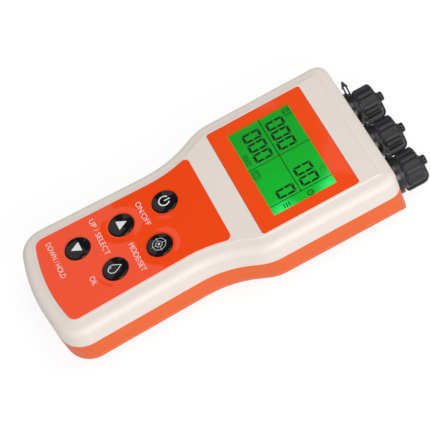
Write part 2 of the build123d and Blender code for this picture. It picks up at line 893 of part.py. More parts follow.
def button_solid(place):
    """Button that holds the tether's eye to the cap and lets the cap turn under it."""
    eye_low = cap_face_y + loose_gap / 3
    profile = [
        (0, cap_inner_y + running_gap),
        (button_inner_radius, cap_inner_y + running_gap),
        (button_inner_radius, cap_inner_y + running_gap + button_inner_height),
        (button_stem_radius, cap_inner_y + running_gap + button_inner_height),
        (button_stem_radius, eye_low + strap_thickness + loose_gap / 3),
        (button_head_radius, eye_low + strap_thickness + loose_gap / 3),
        (button_head_radius, eye_low + strap_thickness + button_head_height),
        (0, eye_low + strap_thickness + button_head_height),
    ]
    with BuildPart() as button:
        with BuildSketch(radial_plane(place, 0)):
            with BuildLine():
                Polyline(*profile, close=True)
            make_face()
        revolve(axis=Axis((place, 0, socket_height), (0, 1, 0)))
        chamfer(button.faces().sort_by(Axis.Y)[-1].edges(), button_head_height / 5)
    return button.part


def tether_solid(place):
    """Tether: band round the socket's neck, arrow-headed tail and strap to the button."""
    band_low = neck_y + loose_gap
    band_high = collar_y - loose_gap
    band_inner = socket_radius + running_gap
    band_outer = band_inner + strap_thickness * 1.3
    run_radius = cap_radius + strap_standoff
    outer_radius = run_radius + strap_thickness
    eye_low = cap_face_y + loose_gap / 3
    eye_high = eye_low + strap_thickness
    head_start = tail_length - tail_head_length
    band_middle = (band_low + band_high) / 2
    with BuildPart() as tether:
        with BuildSketch(socket_plane(place, band_low)):
            Circle(band_outer)
            Circle(band_inner, mode=Mode.SUBTRACT)
        extrude(amount=band_high - band_low)
        with BuildSketch(radial_plane(place, strap_angle)) as strap_outline:
            with BuildLine():
                Polyline(
                    (band_inner + strap_thickness / 2, band_low),
                    (outer_radius, band_low),
                    (outer_radius, eye_high),
                    (0, eye_high),
                    (0, eye_low),
                    (run_radius, eye_low),
                    (run_radius, band_low + strap_thickness),
                    (band_inner + strap_thickness / 2, band_low + strap_thickness),
                    close=True,
                )
            make_face()
            fillet(strap_outline.vertices().group_by(Axis.X)[-2], strap_bend)
            fillet(strap_outline.vertices().group_by(Axis.X)[-1], strap_bend + strap_thickness)
        extrude(amount=strap_width / 2, both=True)
        with BuildSketch(socket_plane(place, eye_low)):
            Circle(button_head_radius)
        extrude(amount=strap_thickness)
        with BuildSketch(socket_plane(place, eye_low)):
            Circle(button_stem_radius + running_gap)
        extrude(amount=strap_thickness, mode=Mode.SUBTRACT)
        with BuildSketch(radial_plane(place, tail_angle)):
            with BuildLine():
                Polyline(
                    (band_inner + strap_thickness / 2, band_middle - tail_width / 2),
                    (head_start, band_middle - tail_width / 2),
                    (head_start, band_middle - tail_head_width / 2),
                    (tail_length, band_middle),
                    (head_start, band_middle + tail_head_width / 2),
                    (head_start, band_middle + tail_width / 2),
                    (band_inner + strap_thickness / 2, band_middle + tail_width / 2),
                    close=True,
                )
            make_face()
            with Locations((head_start - tail_head_length / 3, band_middle)):
                SlotOverall(tail_head_length, tail_slot_width, mode=Mode.SUBTRACT)
        extrude(amount=strap_thickness / 2, both=True)
    return tether.part


socket_pieces = {
    "socket_shell": socket_solid,
    "socket_insert": insert_solid,
    "socket_nut": nut_solid,
    "socket_seal": seal_solid,
    "dust_cap": cap_solid,
    "cap_seal": cap_seal_solid,
    "cap_button": button_solid,
    "tether": tether_solid,
}
for name, make_piece in socket_pieces.items():
    for number, place in enumerate(socket_places, 1):
        piece = make_piece(place)
        piece.label = f"{name}_{number}"
        export_step(piece, f"parts/{name}_{number}.step")
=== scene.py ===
import math
import bmesh
import bpy
from mathutils import Matrix, Vector


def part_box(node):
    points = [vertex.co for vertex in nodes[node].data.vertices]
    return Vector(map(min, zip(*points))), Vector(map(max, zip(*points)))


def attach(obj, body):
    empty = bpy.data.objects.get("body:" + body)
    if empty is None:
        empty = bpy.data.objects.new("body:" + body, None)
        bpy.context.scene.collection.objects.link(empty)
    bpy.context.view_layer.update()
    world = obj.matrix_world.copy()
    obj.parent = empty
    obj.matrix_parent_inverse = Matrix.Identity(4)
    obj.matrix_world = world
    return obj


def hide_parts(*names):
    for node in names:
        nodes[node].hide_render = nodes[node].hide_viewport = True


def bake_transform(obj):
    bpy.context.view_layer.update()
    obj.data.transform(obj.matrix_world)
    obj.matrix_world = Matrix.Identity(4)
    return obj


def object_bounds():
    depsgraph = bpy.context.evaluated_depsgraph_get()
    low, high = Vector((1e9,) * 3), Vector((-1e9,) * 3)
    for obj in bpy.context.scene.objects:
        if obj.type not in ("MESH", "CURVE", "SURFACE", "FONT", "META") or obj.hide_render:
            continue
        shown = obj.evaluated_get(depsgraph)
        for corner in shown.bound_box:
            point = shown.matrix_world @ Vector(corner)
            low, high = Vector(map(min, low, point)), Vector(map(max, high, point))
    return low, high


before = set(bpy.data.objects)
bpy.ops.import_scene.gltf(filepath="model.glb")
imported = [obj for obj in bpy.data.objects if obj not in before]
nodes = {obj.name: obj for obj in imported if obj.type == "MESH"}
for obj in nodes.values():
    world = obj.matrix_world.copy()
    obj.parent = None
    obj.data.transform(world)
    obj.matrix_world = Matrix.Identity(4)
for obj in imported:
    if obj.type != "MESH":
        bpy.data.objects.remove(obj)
cad_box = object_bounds()
mm = 0.001


# Back shell: the deep orange tray that the grip is held by. It is ABS, injection
# moulded in one shot with the battery bay and the screw posts inside it. The mould
# was spark eroded, so the outside has a fine even grain that softens the shine.
def linear(code):
    """Turns an sRGB hex colour into a linear one."""
    shares = [int(code[place:place + 2], 16) / 255 for place in (1, 3, 5)]
    return [s / 12.92 if s <= 0.04045 else ((s + 0.055) / 1.055) ** 2.4 for s in shares] + [1.0]


def add_node(tree, kind, inputs=None, **settings):
    """Adds one shader node, sets it up, and links or fills its inputs."""
    node = tree.nodes.new(f"ShaderNode{kind}")
    for name, value in settings.items():
        setattr(node, name, value)
    for name, value in (inputs or {}).items():
        if isinstance(value, bpy.types.NodeSocket):
            tree.links.new(value, node.inputs[name])
        else:
            node.inputs[name].default_value = value
    return node


def start_material(name):
    """An empty material, and the place on the piece that its patterns read."""
    material = bpy.data.materials.new(name)
    material.use_nodes = True
    tree = material.node_tree
    tree.nodes.clear()
    return material, tree, add_node(tree, "TexCoord").outputs["Object"]


def coated(material, shader):
    """The material, with its shader linked to an output."""
    add_node(material.node_tree, "OutputMaterial", {"Surface": shader.outputs["BSDF"]})
    return material


def moulded_abs(name, colour, roughness):
    """ABS off a spark-eroded mould: satin, with an even grain and faint flow shading.
    The real grain is about 0.1 mm; it is drawn at 0.5 mm so that the render shows it."""
    material, tree, place = start_material(name)
    grain = add_node(tree, "TexNoise", {"Vector": place, "Scale": 1 / (0.5 * mm), "Detail": 2.0})
    flow = add_node(tree, "TexNoise", {"Vector": place, "Scale": 1 / (45 * mm), "Detail": 1.0})
    darker = [0.955 * share for share in linear(colour)[:3]] + [1.0]
    tint = add_node(
        tree, "MixRGB", {"Fac": flow.outputs["Fac"], "Color1": darker, "Color2": linear(colour)}
    )
    shine = add_node(
        tree, "MapRange",
        {"Value": grain.outputs["Fac"], "To Min": roughness - 0.05, "To Max": roughness + 0.05},
    )
    relief = add_node(
        tree, "Bump", {"Height": grain.outputs["Fac"], "Strength": 0.12, "Distance": 0.05 * mm}
    )
    plastic = add_node(
        tree, "BsdfPrincipled",
        {"Base Color": tint.outputs["Color"], "Roughness": shine.outputs["Result"],
         "Normal": relief.outputs["Normal"], "IOR": 1.54},
    )
    return coated(material, plastic)


def dress(names, material):
    """Gives CAD nodes their material."""
    for name in names:
        nodes[name].data.materials.clear()
        nodes[name].data.materials.append(material)


orange_abs = moulded_abs("satin_orange_abs", "#E45C04", 0.45)
dress(["back_shell"], orange_abs)

# Battery cover: a flush plate of the same ABS as the back shell. Two tabs on its
# upper edge hook over the shell's floor, and three moulded lines mark where to pull.
dress(["battery_cover"], orange_abs)


# Cover pad: a strip of closed-cell foam, die cut and glued inside the cover. It
# keeps the cells from rattling.
def matt_black(name, colour, roughness, grain_mm, depth):
    """A black rubber or foam: no shine to speak of, and an open grain."""
    material, tree, place = start_material(name)
    pores = add_node(tree, "TexVoronoi", {"Vector": place, "Scale": 1 / (grain_mm * mm)})
    dust = add_node(tree, "TexNoise", {"Vector": place, "Scale": 1 / (6 * mm), "Detail": 3.0})
    lighter = [1.35 * share for share in linear(colour)[:3]] + [1.0]
    tint = add_node(
        tree, "MixRGB", {"Fac": dust.outputs["Fac"], "Color1": linear(colour), "Color2": lighter}
    )
    shine = add_node(
        tree, "MapRange",
        {"Value": dust.outputs["Fac"], "To Min": roughness - 0.06, "To Max": roughness + 0.06},
    )
    relief = add_node(
        tree, "Bump", {"Height": pores.outputs["Distance"], "Strength": 0.3, "Distance": depth * mm}
    )
    rubber = add_node(
        tree, "BsdfPrincipled",
        {"Base Color": tint.outputs["Color"], "Roughness": shine.outputs["Result"],
         "Normal": relief.outputs["Normal"], "IOR": 1.52},
    )
    return coated(material, rubber)


dress(["cover_pad"], matt_black("closed_cell_foam", "#2A2A2C", 0.9, 0.8, 0.2))

# Seam gasket: a flat cord of silicone rubber pressed into the rim of the back shell.
soft_rubber = matt_black("moulded_rubber", "#18181B", 0.45, 0.5, 0.02)
dress(["seam_gasket"], soft_rubber)
dress([f"socket_seal_{number}" for number in (1, 2, 3)], soft_rubber)
dress([f"cap_seal_{number}" for number in (1, 2, 3)], soft_rubber)
dress([f"dust_cap_{number}" for number in (1, 2, 3)], soft_rubber)
dress([f"tether_{number}" for number in (1, 2, 3)], soft_rubber)


# Front shell: the cream lid, moulded in the same ABS. Its face is a flat plateau
# with a crisp edge; round it a border falls away a little to a soft shoulder.
case_end_y = 102.5 * mm
head_half_width = 50.0 * mm
head_low_y = 27.3 * mm
end_corner = 7.5 * mm
bend_out = 26.0 * mm
bend_in = 60.0 * mm
bend_angle = math.radians(27.0)
slope_length = 5.35 * mm
flare = math.radians(1.7)
handle_arc = 124.0 * mm
handle_corner = 15.0 * mm
seam_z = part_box("back_shell")[1].z
face_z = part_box("front_shell")[1].z
border_inset = 7.9 * mm
border_end_inset = 6.7 * mm
side_height = 13.0 * mm
shoulder_round = 4.4 * mm
border_width = 3.5
border_fall = 0.42
crease_width = 0.12
crease_rise = 0.26
edge_chamfer = 0.36
wall_thickness = 2.4 * mm


def pick(kind, test):
    """In edit mode, selects only those faces, edges or verts that pass the test."""
    bpy.ops.mesh.select_mode(type=kind.upper())
    bpy.ops.mesh.select_all(action="DESELECT")
    form = bmesh.from_edit_mesh(bpy.context.object.data)
    items = {"vert": form.verts, "edge": form.edges, "face": form.faces}[kind]
    for item in items:
        if test(item):
            item.select_set(True)
    form.select_flush_mode()
    bmesh.update_edit_mesh(bpy.context.object.data)


def face_outwards():
    """In edit mode, selects the whole piece and turns its faces outwards."""
    bpy.ops.mesh.select_all(action="SELECT")
    bpy.ops.mesh.normals_make_consistent(inside=False)


def first_point(name, place):
    """A new piece that is one selected point, ready to be drawn on from there."""
    bpy.ops.object.select_all(action="DESELECT")
    bpy.ops.mesh.primitive_plane_add(size=mm, location=place)
    bpy.context.object.name = name
    bpy.ops.object.transform_apply(location=True)
    bpy.ops.object.mode_set(mode="EDIT")
    bpy.ops.mesh.select_mode(type="VERT")
    bpy.ops.mesh.select_all(action="SELECT")
    bpy.ops.mesh.merge(type="CENTER")
    return bpy.context.object


def apply_modifier(piece, kind, **settings):
    """Adds a modifier to the piece, sets it up and applies it."""
    bpy.ops.object.select_all(action="DESELECT")
    bpy.context.view_layer.objects.active = piece
    change = piece.modifiers.new(kind.lower(), kind)
    for name, value in settings.items():
        setattr(change, name, value)
    bpy.ops.object.modifier_apply(modifier=change.name)


def draw_case_outline(name, height):
    """The case outline as one flat face: one half in runs and arcs, then mirrored."""
    outline = first_point(name, (0, case_end_y, height))

    def run(along, across):
        bpy.ops.mesh.extrude_vertices_move(TRANSFORM_OT_translate={"value": (along, across, 0)})

    def turn(centre, angle, steps):
        bpy.ops.mesh.spin(steps=steps, angle=angle, center=(centre[0], centre[1], height), axis=(0, 0, 1))

    run(head_half_width - end_corner, 0)
    turn((head_half_width - end_corner, case_end_y - end_corner), math.radians(90), 10)
    run(0, head_low_y - case_end_y + end_corner)
    turn((head_half_width - bend_out, head_low_y), bend_angle, 9)
    down = Vector((-math.sin(bend_angle), -math.cos(bend_angle)))
    run(*(slope_length * down))
    slope_start = Vector((
        head_half_width - bend_out + bend_out * math.cos(bend_angle),
        head_low_y - bend_out * math.sin(bend_angle),
    ))
    slope_end = slope_start + slope_length * down
    in_centre = slope_end + bend_in * Vector((-down.y, down.x))
    turn(in_centre, -bend_angle - flare, 14)
    grip_down = Vector((math.sin(flare), -math.cos(flare)))
    inward = Vector((grip_down.y, -grip_down.x))
    grip_start = in_centre + bend_in * inward
    arc_centre = Vector((0, handle_arc - case_end_y))
    from_arc = grip_start + handle_corner * inward - arc_centre
    reach = handle_arc - handle_corner
    along = from_arc.dot(grip_down)
    grip_length = math.sqrt(along**2 - from_arc.length_squared + reach**2) - along
    run(*(grip_length * grip_down))
    corner_centre = arc_centre + from_arc + grip_length * grip_down
    end_side = (corner_centre - arc_centre).normalized()
    turn(corner_centre, (-inward).angle(end_side), 12)
    turn(arc_centre, math.atan2(end_side.x, -end_side.y), 14)
    bpy.ops.object.mode_set(mode="OBJECT")
    apply_modifier(outline, "MIRROR", merge_threshold=0.05 * mm)
    bpy.ops.object.mode_set(mode="EDIT")
    bpy.ops.mesh.select_all(action="SELECT")
    bpy.ops.mesh.remove_doubles(threshold=0.02 * mm)
    bpy.ops.mesh.edge_face_add()
    bpy.ops.mesh.normals_make_consistent(inside=False)
    return outline


def step_in(sideways, upwards):
    """Insets the selected face and lifts it."""
    bpy.ops.mesh.inset(thickness=sideways * mm, depth=upwards * mm, use_even_offset=True)


front = draw_case_outline("front_shell_moulding", seam_z)
bpy.ops.mesh.extrude_region_move(TRANSFORM_OT_translate={"value": (0, 0, side_height)})
shoulder_z = seam_z + side_height
pick("edge", lambda edge: all(vert.co.z > shoulder_z - 0.1 * mm for vert in edge.verts))
bpy.ops.mesh.bevel(offset=shoulder_round, segments=9, profile=0.5, clamp_overlap=False)
pick("face", lambda face: face.normal.z > 0.9999 and len(face.verts) > 20)
step_in(border_width, border_fall)
for side in (-1, 1):
    corner_x = side * (head_half_width - border_inset)
    pick("vert", lambda vert: vert.co.z > shoulder_z + 0.3 * mm and vert.co.y > case_end_y - 10 * mm and
         abs(vert.co.x - corner_x) < 1.9 * mm)
    bpy.ops.mesh.merge(type="CENTER")
    form = bmesh.from_edit_mesh(front.data)
    for vert in form.verts:
        if vert.select:
            vert.co.x = corner_x
            vert.co.y = case_end_y - border_end_inset
    bmesh.update_edit_mesh(front.data)
pick("face", lambda face: face.normal.z > 0.999 and len(face.verts) > 20 and
     face.calc_center_median().z > shoulder_z + 0.3 * mm)
step_in(crease_width, crease_rise)
step_in(edge_chamfer, face_z / mm - shoulder_z / mm - border_fall - crease_rise)
bpy.ops.object.mode_set(mode="OBJECT")


def carve(piece, cutter):
    """Cuts the cutter's shape out of the piece and throws the cutter away."""
    apply_modifier(piece, "BOOLEAN", operation="DIFFERENCE", solver="EXACT", object=cutter)
    bpy.data.objects.remove(cutter)


def block(name, low, high):
    """A closed block between two corners, as a cutter."""
    bpy.ops.object.select_all(action="DESELECT")
    centre = (Vector(low) + Vector(high)) / 2
    bpy.ops.mesh.primitive_cube_add(size=1, location=centre, scale=Vector(high) - Vector(low))
    bpy.context.object.name = name
    bpy.ops.object.transform_apply(location=True, scale=True)
    return bpy.context.object


def round_uprights(radius, segments):
    """In edit mode, rounds every upright edge of the block."""
    pick("edge", lambda edge: abs(edge.verts[0].co.z - edge.verts[1].co.z) > 0.1 * mm and
         (edge.verts[0].co.xy - edge.verts[1].co.xy).length < 0.01 * mm)
    bpy.ops.mesh.bevel(offset=radius, segments=segments, profile=0.5)


apply_modifier(front, "SOLIDIFY", thickness=wall_thickness, offset=-1, use_even_offset=False)

window_low, window_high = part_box("display_frame")
fit = 0.15 * mm
window_corner = 1.8 * mm
window = block(
    "window_cutter", (window_low.x - fit, window_low.y - fit, window_low.z),
    (window_high.x + fit, window_high.y + fit, face_z + mm),
)
bpy.ops.object.mode_set(mode="EDIT")
round_uprights(window_corner, 5)
bpy.ops.object.mode_set(mode="OBJECT")
carve(front, window)
glass_low, glass_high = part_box("display_glass")
carve(front, block(
    "glass_cutter", (glass_low.x - 2 * fit, glass_low.y - 2 * fit, face_z - 5 * mm),
    (glass_high.x + 2 * fit, glass_high.y + 2 * fit, face_z - mm),
))

keypad_inset = 9.5 * mm
keypad_corner = 3.0 * mm
key_hole_radius = 7.75 * mm
keypad_low, keypad_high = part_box("keypad_overlay")
key_names = ("power", "target", "up", "drop", "down")


def draw_keypad(name, height, grow):
    """The keypad's outline: the case outline drawn in, and cut straight below the display."""
    pad = draw_case_outline(name, height)
    bpy.ops.mesh.inset(thickness=keypad_inset - grow, use_even_offset=True)
    bpy.ops.mesh.select_all(action="INVERT")
    bpy.ops.mesh.delete(type="FACE")
    bpy.ops.mesh.select_all(action="SELECT")
    bpy.ops.mesh.bisect(
        plane_co=(0, keypad_high.y + grow, height), plane_no=(0, 1, 0), clear_outer=True, use_fill=False
    )
    top_y = max(vert.co.y for vert in bmesh.from_edit_mesh(pad.data).verts)
    pick("vert", lambda vert: vert.co.y > top_y - 0.01 * mm)
    bpy.ops.mesh.bevel(offset=keypad_corner, segments=5, profile=0.5, affect="VERTICES")
    bpy.ops.mesh.select_all(action="SELECT")
    return pad


pad_recess = draw_keypad("keypad_cutter", keypad_low.z, fit)
bpy.ops.mesh.extrude_region_move(TRANSFORM_OT_translate={"value": (0, 0, 2 * mm)})
pick("vert", lambda vert: vert.co.z < keypad_low.z + mm)
bpy.ops.mesh.edge_face_add()
face_outwards()
bpy.ops.object.mode_set(mode="OBJECT")
carve(front, pad_recess)


def key_centre(name):
    """The middle of a key, at the top of its crown."""
    low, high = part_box(f"key_{name}")
    return Vector(((low.x + high.x) / 2, (low.y + high.y) / 2, high.z))


def drill(piece, centre, radius, low_z, high_z):
    """Cuts a round upright hole."""
    bpy.ops.object.select_all(action="DESELECT")
    bpy.ops.mesh.primitive_cylinder_add(
        vertices=96, radius=radius, depth=high_z - low_z,
        location=(centre.x, centre.y, (low_z + high_z) / 2),
    )
    bpy.ops.object.transform_apply(location=True)
    carve(piece, bpy.context.object)


for name in key_names:
    drill(front, key_centre(name), key_hole_radius, face_z - 6 * mm, face_z + mm)


def finish_piece(piece, body, material, angle=35):
    """Smooths a piece up to its real edges and gives it its finish and its body."""
    bpy.ops.object.select_all(action="DESELECT")
    piece.select_set(True)
    bpy.context.view_layer.objects.active = piece
    bpy.ops.object.shade_smooth_by_angle(angle=math.radians(angle))
    apply_modifier(piece, "WEIGHTED_NORMAL", keep_sharp=True)
    piece.data.materials.clear()
    piece.data.materials.append(material)
    if body:
        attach(piece, body)


cream_abs = moulded_abs("satin_cream_abs", "#E3DAD1", 0.46)
finish_piece(front, "case", cream_abs, 30)
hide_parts("front_shell")
dress(["front_shell"], cream_abs)

# Display frame: the orange surround, moulded in ABS and lacquered with a high gloss.
# It drops into the front shell's recess until it is flush.
def lacquer(name, colour, wave_mm, wave_depth):
    """A glossy coloured sheet or lacquer: a clear skin that is never quite flat."""
    material, tree, place = start_material(name)
    waves = add_node(tree, "TexNoise", {"Vector": place, "Scale": 1 / (wave_mm * mm), "Detail": 1.0})
    relief = add_node(
        tree, "Bump", {"Height": waves.outputs["Fac"], "Strength": 1.0, "Distance": wave_depth * mm}
    )
    fine = add_node(tree, "TexNoise", {"Vector": place, "Scale": 1 / (0.8 * mm), "Detail": 2.0})
    shine = add_node(tree, "MapRange", {"Value": fine.outputs["Fac"], "To Min": 0.03, "To Max": 0.06})
    darker = [0.97 * share for share in linear(colour)[:3]] + [1.0]
    tint = add_node(
        tree, "MixRGB", {"Fac": fine.outputs["Fac"], "Color1": darker, "Color2": linear(colour)}
    )
    skin = add_node(
        tree, "BsdfPrincipled",
        {"Base Color": tint.outputs["Color"], "Roughness": shine.outputs["Result"],
         "Normal": relief.outputs["Normal"], "IOR": 1.5},
    )
    return coated(material, skin)


dress(["display_frame"], lacquer("gloss_orange_lacquer", "#F14A11", 30, 0.15))


# Display lens: a sheet of clear cast acrylic glued up into the frame.
def clear_acrylic():
    """Cast acrylic: colourless, polished, with the odd faint ripple."""
    material, tree, place = start_material("clear_cast_acrylic")
    ripple = add_node(tree, "TexNoise", {"Vector": place, "Scale": 1 / (20 * mm)})
    relief = add_node(
        tree, "Bump", {"Height": ripple.outputs["Fac"], "Strength": 0.3, "Distance": 0.02 * mm}
    )
    acrylic = add_node(
        tree, "BsdfPrincipled",
        {"Base Color": linear("#FDFEFD"), "Roughness": 0.02, "IOR": 1.49, "Transmission Weight": 1.0,
         "Normal": relief.outputs["Normal"]},
    )
    return coated(material, acrylic)


dress(["display_lens"], clear_acrylic())

# Display glass: the liquid crystal cell. Two small lamps at its right edge light it
# green from behind, so it is brightest there and dulls towards the left.
lamp_edge_x = 25.6 * mm
screen_low_y = 34.4 * mm
screen_high_y = 72.9 * mm


def lit_glass():
    """Glass lit from its right edge: green, with a brighter patch by each lamp."""
    material, tree, place = start_material("lit_green_display")
    axes = add_node(tree, "SeparateXYZ", {"Vector": place})
    across = add_node(
        tree, "MapRange",
        {"Value": axes.outputs["X"], "From Min": glass_low.x, "From Max": lamp_edge_x},
    )
    base = add_node(
        tree, "MixRGB",
        {"Fac": across.outputs["Result"], "Color1": linear("#00A41C"), "Color2": linear("#00C22C")},
    )
    colour = base.outputs["Color"]
    for lamp_y in (screen_low_y + 6 * mm, screen_high_y - 3 * mm):
        lamp = Vector((32.5 * mm, lamp_y, glass_high.z))
        gap = add_node(tree, "VectorMath", {0: place, 1: lamp}, operation="DISTANCE")
        fade = add_node(
            tree, "MapRange",
            {"Value": gap.outputs["Value"], "From Min": 0.5 * mm, "From Max": 11 * mm,
             "To Min": 1.0, "To Max": 0.0},
            interpolation_type="SMOOTHSTEP",
        )
        colour = add_node(
            tree, "MixRGB",
            {"Fac": fade.outputs["Result"], "Color1": colour, "Color2": linear("#30FF78")},
        ).outputs["Color"]
    mottle = add_node(tree, "TexNoise", {"Vector": place, "Scale": 1 / (9 * mm), "Detail": 1.0})
    strength = add_node(
        tree, "MapRange", {"Value": mottle.outputs["Fac"], "To Min": 0.88, "To Max": 0.98}
    )
    glass = add_node(
        tree, "BsdfPrincipled",
        {"Base Color": linear("#012A06"), "Roughness": 0.06, "IOR": 1.5, "Emission Color": colour,
         "Emission Strength": strength.outputs["Result"]},
    )
    return coated(material, glass)


dress(["display_glass"], lit_glass())

# Display segments: the dark shapes that the liquid crystal shows. The figures all
# stand at nought, lines part the readings, and small boxed numbers name them.
ink_z = glass_high.z + 0.03 * mm
ink_thickness = 0.04 * mm
segment_width = 1.5 * mm
digit_width = 6.6 * mm
digit_height = 11.0 * mm
digit_pitch = 7.9 * mm
line_width = 0.5 * mm
upright_line_width = 0.45 * mm
box_line_width = 0.32 * mm
part_line_x = 25.6 * mm
artwork = []


def flat_bar(centre, length, width, upright):
    """One thin square-ended line of the artwork."""
    bpy.ops.object.select_all(action="DESELECT")
    bpy.ops.mesh.primitive_plane_add(size=1, location=(centre[0], centre[1], ink_z))
    bar = bpy.context.object
    bpy.ops.object.mode_set(mode="EDIT")
    bpy.ops.transform.resize(value=(width, length, 1) if upright else (length, width, 1))
    bpy.ops.object.mode_set(mode="OBJECT")
    bpy.ops.object.transform_apply(location=True, scale=True)
    artwork.append(bar)


def flat_shape(corners, height):
    """A flat filled shape, drawn corner by corner and left open for editing."""
    bpy.ops.object.select_all(action="DESELECT")
    bpy.ops.mesh.primitive_circle_add(vertices=len(corners), radius=mm, location=(0, 0, height))
    shape = bpy.context.object
    bpy.ops.object.transform_apply(location=True)
    for vert, corner in zip(shape.data.vertices, corners):
        vert.co = (corner[0], corner[1], height)
    bpy.ops.object.mode_set(mode="EDIT")
    bpy.ops.mesh.select_all(action="SELECT")
    bpy.ops.mesh.edge_face_add()
    bpy.ops.mesh.normals_make_consistent(inside=False)
    return shape


def nought(left, low):
    """A figure nought in six segments with slanted ends, drawn by quarters."""
    wide = digit_width / 2
    high = digit_height / 2
    deep = segment_width
    gap = 0.2 * mm
    middle = Vector((left + wide, low + high))
    across = [(wide - 2 * gap, high), (wide - deep - gap, high - deep)]
    upright = [(wide, high - 2 * gap), (wide, 2 * gap), (wide - deep / 2, 1.2 * gap),
               (wide - deep, deep / 2 + gap), (wide - deep, high - deep - gap)]
    for flip_y in (-1, 1):
        ends = [(x, y * flip_y) for x, y in across] + [(-x, y * flip_y) for x, y in reversed(across)]
        shapes = [ends] + [[(x * flip_x, y * flip_y) for x, y in upright] for flip_x in (-1, 1)]
        for corners in shapes:
            artwork.append(flat_shape([middle + Vector(corner) for corner in corners], ink_z))
            bpy.ops.object.mode_set(mode="OBJECT")


def small_text(words, centre, width, height_z):
    """Small lettering as a flat mesh, centred and scaled to the width it takes."""
    bpy.ops.object.select_all(action="DESELECT")
    bpy.ops.object.text_add(location=(0, 0, 0))
    text = bpy.context.object
    text.data.body = words
    text.data.align_x = "CENTER"
    text.data.align_y = "CENTER"
    text.data.size = 1.0
    text.data.offset = -0.012
    bpy.ops.object.convert(target="MESH")
    text = bpy.context.object
    points = [vert.co for vert in text.data.vertices]
    low_x, low_y = (min(point[axis] for point in points) for axis in (0, 1))
    high_x, high_y = (max(point[axis] for point in points) for axis in (0, 1))
    text.data.transform(
        Matrix.Translation((centre[0], centre[1], height_z))
        @ Matrix.Scale(width / (high_x - low_x), 4)
        @ Matrix.Translation((-(high_x + low_x) / 2, -(high_y + low_y) / 2, 0))
    )
    return text


readings = ((-28.2, 55.6, 3), (-28.2, 40.7, 3), (9.3, 55.9, 2), (17.4, 41.2, 1))
for left, low, figures in readings:
    for index in range(figures):
        nought(left * mm + index * digit_pitch, low * mm)
middle_y = 53.95 * mm
glass_half_width = 32.95 * mm
flat_bar(
    ((part_line_x - glass_half_width) / 2, middle_y), glass_half_width + part_line_x, line_width, False
)
for line_x in (-3.5 * mm, part_line_x):
    flat_bar(
        (line_x, (screen_low_y + screen_high_y) / 2), screen_high_y - screen_low_y + 0.6 * mm,
        upright_line_width, True,
    )


def boxed_number(number, centre, width, height):
    """A small number in a thin box, which names a reading."""
    for side in (-1, 1):
        flat_bar((centre[0] + side * width / 2, centre[1]), height, box_line_width, True)
        flat_bar((centre[0], centre[1] + side * height / 2), width, box_line_width, False)
    artwork.append(small_text(number, centre, width * 0.72, ink_z))


boxed_number("01", (-28.9 * mm, 70.1 * mm), 5.6 * mm, 3.9 * mm)
boxed_number("02", (0.9 * mm, 37.1 * mm), 6.0 * mm, 3.6 * mm)
artwork.append(small_text("°C", (18.0 * mm, 70.4 * mm), 4.4 * mm, ink_z))
artwork.append(small_text("0000", (-11.0 * mm, 36.9 * mm), 8.6 * mm, ink_z))


def join(pieces, name):
    """Joins flat or solid pieces into one."""
    bpy.ops.object.select_all(action="DESELECT")
    for piece in pieces:
        piece.select_set(True)
    bpy.context.view_layer.objects.active = pieces[0]
    if len(pieces) > 1:
        bpy.ops.object.join()
    pieces[0].name = name
    return pieces[0]


def thicken(piece, thickness):
    """Gives a flat print its thickness."""
    apply_modifier(piece, "SOLIDIFY", thickness=thickness, offset=1)


def small_ring(centre, radius, stroke, start, sweep, height_z, steps=48):
    """Part of a ring, swept by spinning a short bar round its centre."""
    bpy.ops.object.select_all(action="DESELECT")
    place = (centre[0] + radius * math.cos(start), centre[1] + radius * math.sin(start), height_z)
    bpy.ops.mesh.primitive_plane_add(size=stroke, location=place)
    ring = bpy.context.object
    bpy.ops.object.transform_apply(location=True)
    bpy.ops.object.mode_set(mode="EDIT")
    outward = Vector((math.cos(start), math.sin(start)))
    form = bmesh.from_edit_mesh(ring.data)
    for number, vert in enumerate(sorted(form.verts, key=lambda v: v.co.x)):
        vert.co.xy = Vector(centre[:2]) + outward * (radius + stroke / 2 * (1 if number % 2 else -1))
    bmesh.update_edit_mesh(ring.data)
    bpy.ops.mesh.remove_doubles(threshold=stroke / 10)
    bpy.ops.mesh.spin(steps=steps, angle=-sweep, center=(centre[0], centre[1], height_z), axis=(0, 0, 1))
    bpy.ops.mesh.select_all(action="SELECT")
    bpy.ops.mesh.remove_doubles(threshold=stroke / 10)
    bpy.ops.object.mode_set(mode="OBJECT")
    return ring


clock_centre = (29.6 * mm, 58.0 * mm)
artwork.append(small_ring(clock_centre, 1.6 * mm, 0.6 * mm, 0, 2 * math.pi, ink_z))
flat_bar((clock_centre[0], clock_centre[1] + 0.5 * mm), 1.1 * mm, 0.4 * mm, True)
flat_bar((clock_centre[0] + 0.35 * mm, clock_centre[1]), 0.9 * mm, 0.4 * mm, False)
for level in (41.9, 43.4, 44.9):
    flat_bar((29.4 * mm, level * mm), 3.0 * mm, 0.6 * mm, False)
segments = join(artwork, "display_segments")
thicken(segments, ink_thickness)


def dark_crystal():
    """Liquid crystal that is switched on: nearly black, with the green light bleeding through."""
    material, tree, place = start_material("dark_liquid_crystal")
    bleed = add_node(tree, "TexNoise", {"Vector": place, "Scale": 1 / (1.5 * mm)})
    light = add_node(
        tree, "MixRGB",
        {"Fac": bleed.outputs["Fac"], "Color1": linear("#001204"), "Color2": linear("#00280A")},
    )
    crystal = add_node(
        tree, "BsdfPrincipled",
        {"Base Color": linear("#001204"), "Roughness": 0.4, "Emission Color": light.outputs["Color"],
         "Emission Strength": 1.0},
    )
    return coated(material, crystal)


finish_piece(segments, "case", dark_crystal())

